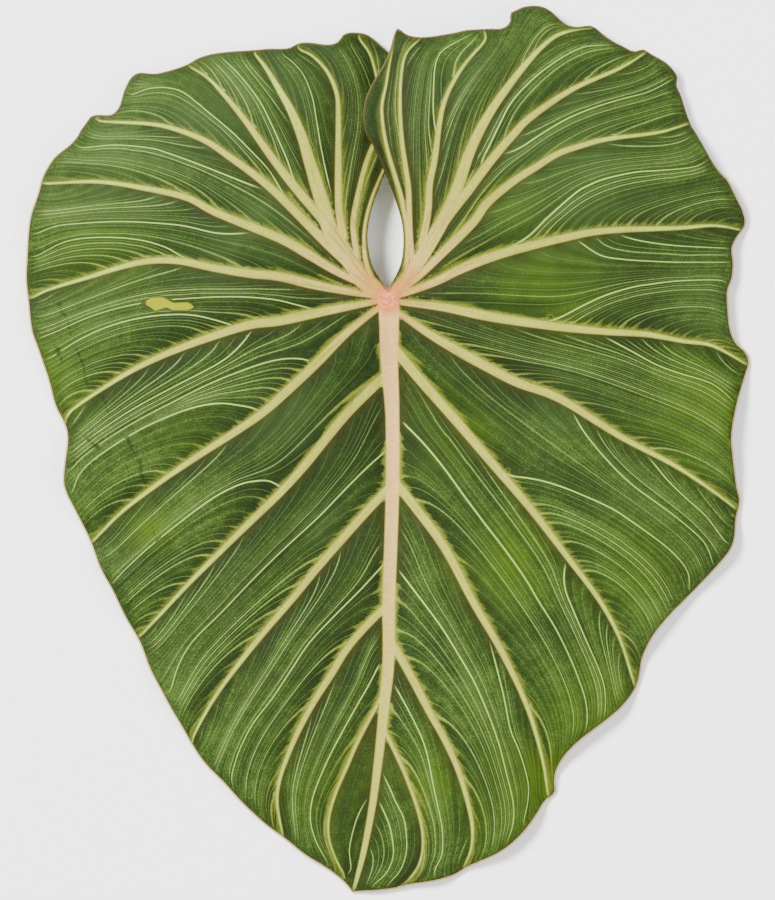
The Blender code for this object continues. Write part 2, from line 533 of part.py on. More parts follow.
def main():
    for old in list(bpy.data.objects):
        bpy.data.objects.remove(old, do_unlink=True)
    leaf_group = bpy.data.collections.new("philodendron_leaf")
    bpy.context.scene.collection.children.link(leaf_group)
    cutters = bpy.data.collections.new("joined_shapes")
    bpy.context.scene.collection.children.link(cutters)

    seam = np.vstack([[APEX], along(MAIN_LINE, STATION_STEP)])
    left = Half(LEFT_OUTLINE, LEFT_RIBS, LEFT_HEIGHTS)
    right = Half(RIGHT_OUTLINE, RIGHT_RIBS, RIGHT_HEIGHTS)
    places, thickness, faces = build_sheet([left, right], seam)
    thickness = evened(places, thickness, faces)
    points, solid = thicken(places, thickness, faces)
    middle = 0.5 * (points.min(0) + points.max(0))
    shift = np.array([-middle[0], -middle[1], 0.0])
    leaf = mesh_object("leaf", (points + shift) * METRE, solid, leaf_group)

    stub = stalk_stub(cutters, shift)
    stub.hide_render = True
    stub.display_type = "WIRE"
    union = leaf.modifiers.new("join_stalk", "BOOLEAN")
    union.operation = "UNION"
    union.object = stub
    leaf.data.materials.append(leaf_material())

    for polygon in leaf.data.polygons:
        polygon.use_smooth = True


main()
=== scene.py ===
# The philodendron leaf as the photo shows it: lying face up, seen from straight above.
# One leaf: the waved blade with its cream ribs, pale fine veins and thin margin, the
# ribs that stand out below, and the cut stub of the stalk. Drawn in millimetres with
# the meeting of the ribs at 0, 0 and the tip toward -Y, as the given tables are.

import json
import math

import bpy
import numpy as np
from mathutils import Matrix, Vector
from mathutils.geometry import delaunay_2d_cdt

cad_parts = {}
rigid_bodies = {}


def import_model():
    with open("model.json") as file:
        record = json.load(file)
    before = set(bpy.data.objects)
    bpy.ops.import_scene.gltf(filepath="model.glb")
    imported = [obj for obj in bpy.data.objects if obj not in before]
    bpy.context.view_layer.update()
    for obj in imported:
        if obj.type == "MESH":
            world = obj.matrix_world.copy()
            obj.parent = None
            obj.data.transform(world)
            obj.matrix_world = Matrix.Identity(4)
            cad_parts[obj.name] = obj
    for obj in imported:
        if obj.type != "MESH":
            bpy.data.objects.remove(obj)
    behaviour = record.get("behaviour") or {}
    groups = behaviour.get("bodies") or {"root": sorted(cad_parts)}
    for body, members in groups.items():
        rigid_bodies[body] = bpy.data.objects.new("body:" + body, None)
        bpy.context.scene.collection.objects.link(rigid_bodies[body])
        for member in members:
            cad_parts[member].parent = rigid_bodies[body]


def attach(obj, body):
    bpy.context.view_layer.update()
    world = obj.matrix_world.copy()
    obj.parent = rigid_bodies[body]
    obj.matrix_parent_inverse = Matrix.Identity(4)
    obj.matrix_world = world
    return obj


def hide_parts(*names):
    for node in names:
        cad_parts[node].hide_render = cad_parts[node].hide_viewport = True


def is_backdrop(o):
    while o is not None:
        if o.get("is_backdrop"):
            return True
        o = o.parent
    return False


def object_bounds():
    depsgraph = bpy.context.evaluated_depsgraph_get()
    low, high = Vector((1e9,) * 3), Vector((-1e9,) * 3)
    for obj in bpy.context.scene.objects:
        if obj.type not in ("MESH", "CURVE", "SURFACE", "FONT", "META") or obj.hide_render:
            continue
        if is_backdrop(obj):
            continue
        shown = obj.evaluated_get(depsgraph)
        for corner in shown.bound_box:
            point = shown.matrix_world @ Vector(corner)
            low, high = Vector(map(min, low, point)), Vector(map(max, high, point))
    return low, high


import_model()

cad_low, cad_high = (list(corner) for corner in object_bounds())

# Driving sizes, in millimetres
BLADE_THICKNESS = 0.8
RIB_DEPTH_SHARE = 0.42
RIB_CREST_SHARE = 0.10
PLEAT_HEIGHT = 1.9
PLEAT_REACH = 8.0
HUB_DEPTH = 4.2
HUB_RADIUS = 7.5
FINE_SPACING = 2.3           # from one fine vein to the next
LEAST_SPACING = 1.3          # where a thin rib leaves its strong rib early
WIDEST_SPACING = 9.0
NO_VEINS = 0.3               # the spacing given where there is no vein
FINE_HEIGHT = 0.30           # how far a fine vein stands up
THIN_HEIGHT = 0.2            # how much further a thin rib does
FINE_STEP = 2.3              # spacing of the mesh along a fine vein
TRACK_STEPS = 260            # half steps along a fine vein at most
PARTING_SHARE = 0.6          # of a sector's veins, those that leave its second rib
STEEPNESS = 6.0              # makes the fine veins leave a strong rib steeply
STEEP_REACH = 3.0
CELL = 1.0                   # of the grid that the veins are worked out on
GRID_BORDER = 3.0
SETTLE_ROUNDS = 220
OVERSHOOT = 1.86             # above 1, the field settles in fewer rounds
SECTOR_RISE = 60.0           # keeps the veins' numbers of two sectors apart
HALF_RISE = 1000.0
GROOVE_DEPTH = 0.35          # between ribs that lie side by side near their meeting
GROOVE_WIDTH = 0.5
SEAM_TOP = 6.0               # up to here the blade is drawn level with the main rib
SEAM_REACH = 14.0
UNEVEN_HEIGHT = 0.22         # of the small dents in the blade
UNEVEN_SIZE = 17.0
UNEVEN_START = 12.0          # how far off the main rib they have their whole height
UNEVEN_SEED = 5
WAVES = 9
SURFACE_EASE = 0.004         # lets the height surface pass a little beside its places
WIDTH_TAPER = 1.6            # above 1, a rib keeps its width longer
TIP_WIDTH_SHARE = 0.6        # of a side rib's width at its tip in the tables
NARROW_START = 0.5           # of the width, for a side rib that starts at the hub
NARROW_PART = 0.22           # of its length
HUB_REACH = 8.0
BROAD_RIB = 6.0              # a side rib of this width starts broad all the same
EVEN_STEP = 1.5              # between a rib's points for the fields
MAIN_PLACE_STEP = 14.0       # between the heights taken from the main rib
RIB_STEP = 2.2
OUTLINE_STEP = 2.0
CROTCH_AWAY = 8.0            # from a rib's start to the middle of the finer mesh there
CROTCH_REACH = 7.0
CROTCH_FILL = (1.1, 0.8)     # step of an even grid of places, and their least distance
HUB_FILL = (1.05, 0.8)
BLADE_FILL = (2.4, 1.75)
HUB_AREA = (-42, 5, 42, 62)
REST_SPOT = (-84.0, -40.0)
REST_HALF_WIDTH = 1.8
EVENING_ROUNDS = 4
STUB_TOP, STUB_FOOT = (0.0, -1.5, 12.0), (0.5, -13.5, 0.0)
STUB_RADIUS = 3.6
STUB_FLARE = 0.8             # how much wider the foot is
STUB_OVAL = 1.1
STUB_RIDGE = 0.012           # share of the radius
STUB_RIDGES = 11
STUB_SIDES, STUB_RINGS = 40, 14
METRE = 0.001
SAME_PLACE = 1e-4
FAR = 1e9
CHUNK = 4000                 # places worked out at a time, to save memory

# In metres
FLOOR_LEVEL = -0.0002        # just below the leaf
CAMERA_PLACE = (-0.00005, -0.0003, 2.258)

# What each mesh layer is held to, where it would run on too far
LAYER_LIMITS = {"rib": (-6.0, 12.0), "main": (-6.0, 12.0), "thin": (-1.0, 3.0),
                "margin": (0.0, 90.0)}

APEX = (0.0, 4.5)
APEX_HEIGHT = 14.6
TIP = (-16.2, -267.3)

LEFT_OUTLINE = [
    (-3.7, 9.2), (-6.9, 14.7), (-8.7, 22), (-9.2, 29.4), (-7.8, 38.6), (-4.6, 48.7),
    (-2, 55.1), (1, 61), (4.2, 70), (6.5, 80), (7.2, 90), (6.4, 99), (4.2, 107),
    (0.5, 111.5), (-2.5, 114.2), (-5, 116.5), (-8, 119), (-11, 120.3), (-15, 120.7),
    (-18, 120.5), (-20.5, 119.2), (-22, 116.8), (-24, 115.5), (-27, 115), (-30, 115.3),
    (-36, 116.2), (-40.5, 115.8), (-45.5, 113.4), (-54, 113.3), (-60, 112.8), (-66, 112.4),
    (-72, 112), (-78, 111.3), (-82, 110.4), (-86, 109), (-90, 106.6), (-95, 104.5),
    (-100, 103), (-105, 102), (-112, 102.6), (-114.5, 101.5), (-116.5, 99.5), (-119, 94),
    (-121, 87), (-124, 83.8), (-127, 83.4), (-131, 83.7), (-134, 83), (-135.5, 81),
    (-138.5, 76.5), (-140, 73.5), (-143, 70), (-147, 67), (-150.5, 64), (-153.5, 60),
    (-156, 55.5), (-157.5, 50), (-159, 45), (-160.7, 40), (-161.8, 35), (-162.5, 28),
    (-163, 20), (-163.6, 9.5), (-162.6, 0), (-161, -13.2), (-158.3, -21.1), (-153.4, -35.6),
    (-150.4, -47.5), (-145.8, -56.8), (-144.8, -63.4), (-145.8, -72.6), (-146.5, -81.2),
    (-145.1, -87.1), (-141.2, -95), (-137.6, -102.3), (-134.1, -110), (-130.1, -120.6),
    (-124.2, -131.2), (-118.3, -143.7), (-112.3, -154.3), (-107.7, -166.1), (-102.4, -176),
    (-98.1, -184), (-93.6, -191.6), (-88.6, -200.7), (-82.8, -209.1), (-74.5, -217.4),
    (-67, -225.7), (-60, -232.5), (-55, -237), (-50, -240.8), (-45, -244.5), (-40, -248.5),
    (-35, -252), (-30, -255), (-25, -258.5), (-20, -262.7),
]

RIGHT_OUTLINE = [
    (3.2, 10.1), (5.9, 16.5), (6.9, 24.8), (6.4, 33.1), (4.6, 40.4), (1.8, 48.7),
    (-0.9, 55.1), (-3.2, 60.6), (-6.9, 68.9), (-9.3, 72.5), (-10.6, 76.2), (-11.2, 81),
    (-11, 85), (-9.7, 90.7), (-6.6, 97.5), (-2.3, 104.7), (0.4, 110.7), (1.8, 115.7),
    (3, 120), (4.6, 122), (8.5, 118.9), (14, 117.8), (20, 118.2), (25, 119), (30, 119.8),
    (34, 120.8), (38, 121.2), (46, 121.5), (50, 121.4), (53, 122.6), (54.8, 125),
    (55, 129.0), (58, 130.6), (60, 131.8), (63, 132.6), (66, 132.9), (69, 132.6),
    (72, 131.3), (74.5, 129.4), (78, 125.7), (81, 123.6), (85, 122.9), (91, 123.7),
    (94, 122.3), (97.5, 119), (101, 116.4), (105.5, 114.2), (110.5, 112), (115, 113.2),
    (118.5, 111), (123, 108.3), (126, 106.3), (128.5, 103.8), (130.6, 100.3), (130, 96.8),
    (132.3, 91.5), (134.3, 85), (136.5, 79), (138.5, 75.5), (142.8, 68), (145.5, 63.2),
    (149.5, 57.8), (153, 54.5), (155.5, 50), (158, 45), (160.5, 40), (161.5, 34),
    (157.5, 28), (155.3, 23), (156, 16.5), (155.3, 9.5), (153.3, 4), (153.5, -4),
    (154.5, -13), (157, -18.8), (161.5, -23), (163.3, -28), (161.5, -34), (158, -45),
    (156, -54), (155, -61.9), (156, -72.5), (157.6, -83.7), (159.2, -90.5), (157.3, -98.9),
    (156.6, -106.8), (154, -113.4), (147.4, -121.3), (140.1, -129.2), (133.5, -135.9),
    (127.3, -142), (119.7, -151.4), (115.2, -161.1), (113.7, -170.1), (111.5, -176),
    (105.5, -183.5), (96.5, -191), (86.8, -198.4), (80.1, -205.2), (76.4, -211.9),
    (75.6, -217.1), (75.6, -222.3), (71.1, -226), (68.2, -230.5), (65.5, -234.5),
    (61.5, -239.5), (56, -245), (50, -249.3), (44, -252.3), (38.5, -254.8), (34.5, -256.8),
    (30.5, -259.3), (25, -261), (18.5, -262.5), (10, -263.8), (3, -265.5), (-3, -266.3),
    (-9, -266.8),
]

MAIN_RIB = [
    (0, 0), (0.5, -8), (0.6, -27), (2, -52), (2, -87), (0.4, -135), (0.4, -151.6),
    (0, -166.6), (-1.6, -181.6), (-3.3, -198.3), (-5, -212.4), (-6.6, -224.9),
    (-8.7, -237.4), (-11.6, -251.5), (-14.9, -264), TIP,
]

MAIN_RIB_WIDTH = [(-267, 1.4), (-251, 2.6), (-225, 3.4), (-198, 4.3), (-167, 5.4),
                  (-135, 6.0), (-52, 6.4), (-27, 8.0), (-8, 9.2), (5, 9.6)]

MAIN_RIB_HEIGHT = [(-267.3, 1.3), (-255, 2.6), (-240, 4.6), (-212, 6.8), (-180, 6.4),
                   (-150, 4.8), (-120, 4.0), (-84, 3.9), (-64, 3.9), (-44, 4.3),
                   (-28, 7.2), (-12, 11.4), (0, 14.0), (4.5, 14.6)]

LEFT_HEIGHTS = [
    (-20, 3, 15), (-40, 0, 17), (-80, 5, 16.5), (-120, 8, 11.5), (-150, 5, 5.5), (-163, 9, 2),
    (-162, -2, 3.4), (-153, -36, 2.2), (-150, -47, 0.9), (-145, -63, 3.4), (-146, -81, 5.6),
    (-136, -105, 1.4), (-124, -131, 4.6), (-112, -154, 1.2), (-98, -184, 4.4), (-83, -209, 1.0),
    (-67, -226, 3.0), (-50, -241, 1.2), (-35, -252, 2.6), (-22, -261, 1.4),
    (-20, -20, 14), (-45, -35, 14.5), (-85, -45, 14.5), (-115, -65, 9.5), (-130, -30, 8.5),
    (-25, -80, 9), (-50, -90, 13), (-85, -105, 11), (-40, -150, 10.5), (-70, -150, 10),
    (-30, -200, 9), (-55, -205, 7.5), (-25, -235, 6.0),
    (-9, 22, 15.5), (-9, 38, 14.5), (-3, 55, 12.5), (3, 68, 10.5), (7, 85, 8.5), (6, 100, 6.0),
    (1, 111, 5.0), (-15, 120.5, 5.5), (-25, 115, 7.0), (-40, 116, 4.5), (-22, 60, 17.0),
    (-20, 90, 12.5), (-60, 112.5, 5.5), (-78, 111, 3.0), (-95, 104, 6.0), (-112, 102, 3.2),
    (-121, 87, 7.0), (-132, 83.5, 2.6), (-143, 70, 6.5), (-156, 55, 3.0), (-161.5, 36, 4.8),
    (-40, 30, 20), (-50, 70, 20), (-85, 60, 18.5), (-95, 88, 11), (-120, 60, 12.5),
    (-145, 45, 7.5), (-60, 95, 13.5), (-40, 98, 13), (-100, 30, 15),
]

RIGHT_HEIGHTS = [
    (20, 2, 15.5), (40, 2, 17), (80, 8, 17), (120, 8, 12.5), (146, 8, 6.5), (153.5, 3, 3.4),
    (156, 15, 3.0), (155.5, 24, 4.6), (161.4, 35, 2.0), (158, 45, 4.4), (154.5, -13, 4.0),
    (163, -28, 0.9), (158, -45, 4.6), (155, -62, 6.4), (157.6, -84, 3.2), (159, -92, 1.4),
    (154, -113, 5.0), (138, -131, 2.2), (120, -151, 4.6), (114, -168, 1.2), (105, -184, 4.2),
    (88, -197.5, 5.0), (76, -219, 0.9), (66, -234, 4.2), (50, -249, 4.8), (35, -256.5, 1.8),
    (18, -262.5, 3.6), (-3, -266, 2.0),
    (25, -25, 14), (50, -40, 15), (90, -45, 15.5), (125, -60, 10.5), (135, -25, 9.5),
    (25, -80, 9.5), (60, -105, 13), (100, -110, 11.5), (130, -100, 8.0), (40, -150, 10.5),
    (75, -160, 10.5), (95, -165, 7.5), (25, -200, 8.6), (50, -215, 8.5), (18, -245, 6.0),
    (7, 22, 17), (6, 38, 20), (-0.9, 55, 22.0), (-7, 69, 22.5), (-11, 82, 21.0),
    (-7, 97, 18.5), (0.5, 111, 16.0), (4.5, 122, 13.5), (14, 118, 15.5), (25, 119, 12.5),
    (38, 121, 15.0), (50, 121, 16.5), (55, 127, 10.0), (66, 132.5, 2.2), (76, 128, 5.5),
    (85, 123, 10.0), (92, 123.5, 6.0), (105, 114.5, 9.0), (115, 113, 4.2), (124, 107.5, 7.5),
    (130.5, 99, 2.4), (135, 83, 5.0), (142, 69, 7.0), (151, 56, 3.6),
    (15, 45, 24), (10, 75, 25.5), (2, 80, 24), (12, 98, 22), (30, 95, 24), (42, 30, 21),
    (45, 60, 25.5), (55, 95, 22.5), (62, 114, 17.5), (75, 70, 22.5), (85, 100, 17),
    (85, 35, 19), (108, 90, 14), (118, 60, 15), (140, 45, 9.5), (126, 34, 12.5),
]

# Ribs from the sinus round to the main rib, as: name, the rib that it leaves, its
# points from base to end, and its width at the base and at the end. A strong rib is
# cream and pleats the blade, and a thin one is only a bright line.
EDGE, MAIN = "edge", "main"
LEFT_RIBS = [
    ("L0", "Ld", [(-6.5, 6.5), (-10, 17), (-10.6, 26.6), (-9.7, 35.8), (-6.9, 45.9),
                  (-3.2, 55.1), (1, 66), (3.5, 78), (4.2, 90), (2.5, 102)], 2.2, 1.0),
    ("L1", "Ld", [(-14, 19), (-15.6, 31.2), (-15.2, 38.6), (-12.9, 49.6), (-10.6, 58.8),
                  (-7.8, 67), (-5, 74), (-4, 85), (-4.3, 95), (-6, 104), (-8.5, 111.5),
                  (-13, 118)], 2.6, 1.2),
    ("Lc", "Ld", [(-20, 28), (-21.9, 39), (-22.3, 50), (-22.3, 63), (-22.3, 81.6), (-23, 92.4),
                  (-27.3, 102.6), (-34.2, 110), (-40, 113)], 3.4, 1.0),
    ("l1", "Lc", [(-22, 36), (-24.4, 42), (-25.8, 49), (-27.5, 56), (-30, 68), (-32, 80),
                  (-34, 91), (-38, 101), (-43, 107), (-48, 111)], 0.9, 0.5),
    ("Ld", None, [(-2, 2), (-10.7, 8.2), (-17, 17.1), (-23.4, 26.5), (-27.1, 34.1),
                  (-28.8, 40.8), (-32.1, 51.6), (-35.4, 62.4), (-38.7, 73.2), (-43.5, 84.6),
                  (-48.9, 94.2), (-55, 104.4), (-60, 111)], 8.0, 1.3),
    ("l2", "Le", [(-41, 49.5), (-43, 56), (-45, 62), (-48, 69), (-52, 78), (-57, 88),
                  (-63, 96.5), (-69, 103.5), (-75, 109.3)], 1.1, 0.5),
    ("Le", "Ld", [(-27, 33), (-32.7, 39.6), (-40.5, 48.6), (-49.5, 60), (-57.3, 70.8),
                  (-65.1, 81.6), (-75, 93.6), (-81.8, 100.5), (-89, 105)], 4.2, 1.2),
    ("l3", "Lf", [(-45, 42.5), (-48.5, 50), (-53.5, 58), (-60, 65), (-70, 75), (-80, 83.5),
                  (-88.2, 90.4), (-93.6, 94), (-100, 95.4), (-108, 95), (-115, 92.5)], 1.0, 0.5),
    ("Lf", "Ld", [(-14, 12.5), (-26.5, 24), (-40, 37.5), (-50, 47.4), (-60, 55.8), (-70, 63),
                  (-80, 70), (-90, 74.6), (-100, 77.8), (-110, 79.3), (-120, 79.9), (-131, 81)],
     4.2, 1.3),
    ("l4", "Lf", [(-50, 47.2), (-57, 49.5), (-65, 52.5), (-80, 58.5), (-90, 62.4), (-100, 66),
                  (-105, 67.6), (-115, 69), (-125, 69.5), (-138, 68.5)], 1.3, 0.5),
    ("Lg", "Ld", [(-6, 4), (-23.4, 12.6), (-36, 20.2), (-48.6, 27.2), (-77, 38.7), (-90, 45.5),
                  (-108.6, 49.8), (-130, 53.1), (-152, 52.6)], 4.4, 1.4),
    ("l5", "Lg", [(-57, 30.6), (-66, 29.4), (-77, 29.6), (-90, 32.6), (-100, 33.9), (-120, 35),
                  (-140, 34.2), (-150, 33), (-158, 30)], 1.1, 0.5),
    ("l6", "Lh", [(-86, 16.5), (-92, 19), (-100, 23.5), (-113, 27), (-130, 28), (-145, 26.2),
                  (-158, 20)], 1.0, 0.5),
    ("Lh", None, [(-3, 1), (-29.7, 5.7), (-48.6, 10.1), (-62.1, 11.4), (-79.8, 14.4),
                  (-93, 17.1), (-106.2, 17.4), (-119.4, 14.8), (-132.6, 10.8), (-152.4, 4.9),
                  (-161, 1)], 4.4, 1.4),
    ("l7", "Li", [(-31, -6), (-36, -3.8), (-42, -2.2), (-50, -0.3), (-62, 0.9), (-75, 1.1),
                  (-90, 0.4), (-105, -0.8), (-120, -3.5), (-135, -8), (-150, -14.5)], 1.0, 0.5),
    ("l8", "Li", [(-66, -13.5), (-71.9, -10.9), (-86.4, -7.2), (-99.6, -6.9), (-112.8, -8.6),
                  (-126, -12.2), (-139.2, -18.1), (-151.1, -25.4)], 1.2, 0.5),
    ("Li", None, [(-3, -0.5), (-30, -5.7), (-49, -9.8), (-62.1, -11.5), (-79.8, -17),
                  (-96.3, -23.1), (-109.5, -29), (-122.7, -36.3), (-142.5, -49.5), (-145.8, -56)],
     4.6, 1.4),
    ("l9", "Li", [(-59, -11.3), (-62.5, -16), (-66, -20.5), (-72, -26), (-80, -31), (-99.6, -41),
                  (-117.4, -50.8), (-134.9, -62.6), (-143, -69)], 1.1, 0.5),
    ("l10", "Lj", [(-32, -28.6), (-38, -26.8), (-46, -26.6), (-55, -28.4), (-65, -31.8),
                   (-75, -35.7), (-85, -40.2), (-98, -46.8), (-112, -54), (-126, -62.4),
                   (-137, -70.4), (-143.5, -77)], 1.1, 0.5),
    ("l11", "Lj", [(-56.5, -51), (-60, -48.9), (-66, -47.6), (-76.5, -46.6), (-89.7, -49.2),
                   (-106.2, -55.8), (-119.4, -63), (-132.6, -72), (-139.2, -79), (-142.2, -86.5)],
     1.3, 0.5),
    ("Lj", None, [(-2, -2), (-17.8, -14.5), (-30.5, -27.1), (-43.1, -39.2), (-55.7, -50.5),
                  (-68.4, -59.4), (-81, -67.5), (-99.6, -80), (-119.4, -95), (-134, -109.5)],
     4.4, 1.4),
    ("l12", "Lk", [(-47, -85), (-53, -81.5), (-60, -81.5), (-68.1, -83.6), (-81.3, -90.9),
                   (-104.4, -108.7), (-117.6, -120.6), (-124, -127.5)], 1.3, 0.5),
    ("Lk", MAIN, [(0, -33), (-8.4, -41), (-17.8, -50.5), (-27.3, -61.9), (-36.8, -73.9),
                  (-48.1, -86.5), (-64.8, -102.8), (-87.9, -125.9), (-105.7, -145),
                  (-113, -152.5)], 4.2, 1.4),
    ("l13", MAIN, [(0, -67), (-10, -76), (-20, -86), (-31.1, -97.5), (-48.3, -113.4),
                   (-61.5, -126.5), (-74.7, -140.4), (-87.9, -153.6), (-94.5, -164.8),
                   (-98.1, -176)], 1.1, 0.6),
    ("Ll", MAIN, [(1, -84), (-12, -98), (-30.6, -119.3), (-41.7, -133), (-61, -156),
                  (-77, -177.4), (-86.9, -194.9), (-88.5, -200.4)], 3.8, 1.3),
    ("l14", MAIN, [(-1, -118), (-12, -130), (-24, -142), (-35.3, -154.1), (-43.7, -166.6),
                   (-52, -179.1), (-60.3, -189.9), (-65.3, -199.1), (-68.6, -207.4),
                   (-70.5, -215.7), (-69, -222)], 1.2, 0.6),
    ("Lm", MAIN, [(0, -137), (-10.4, -147.5), (-18.7, -157.5), (-25.3, -168.3), (-33.7, -181.6),
                  (-40.3, -194.1), (-45.3, -205.7), (-49.1, -217.4), (-49.9, -227.4),
                  (-47.4, -241.5)], 3.4, 1.2),
    ("l15", MAIN, [(-2, -160), (-8, -172), (-16, -186), (-24.5, -201.6), (-30.3, -214.1),
                   (-34.1, -224.9), (-34.9, -234.9), (-32, -244.8), (-27, -254)], 1.1, 0.6),
    ("Ln", MAIN, [(-3, -179), (-12.9, -197.4), (-18.7, -210.7), (-23.7, -222.4), (-26.6, -233.2),
                  (-26.6, -242.4), (-23.7, -251.5), (-19.5, -260)], 1.8, 1.0),
    ("l16", MAIN, [(-8.5, -223), (-13, -231), (-15.7, -239), (-17.4, -248), (-16.8, -257)],
     0.9, 0.5),
]

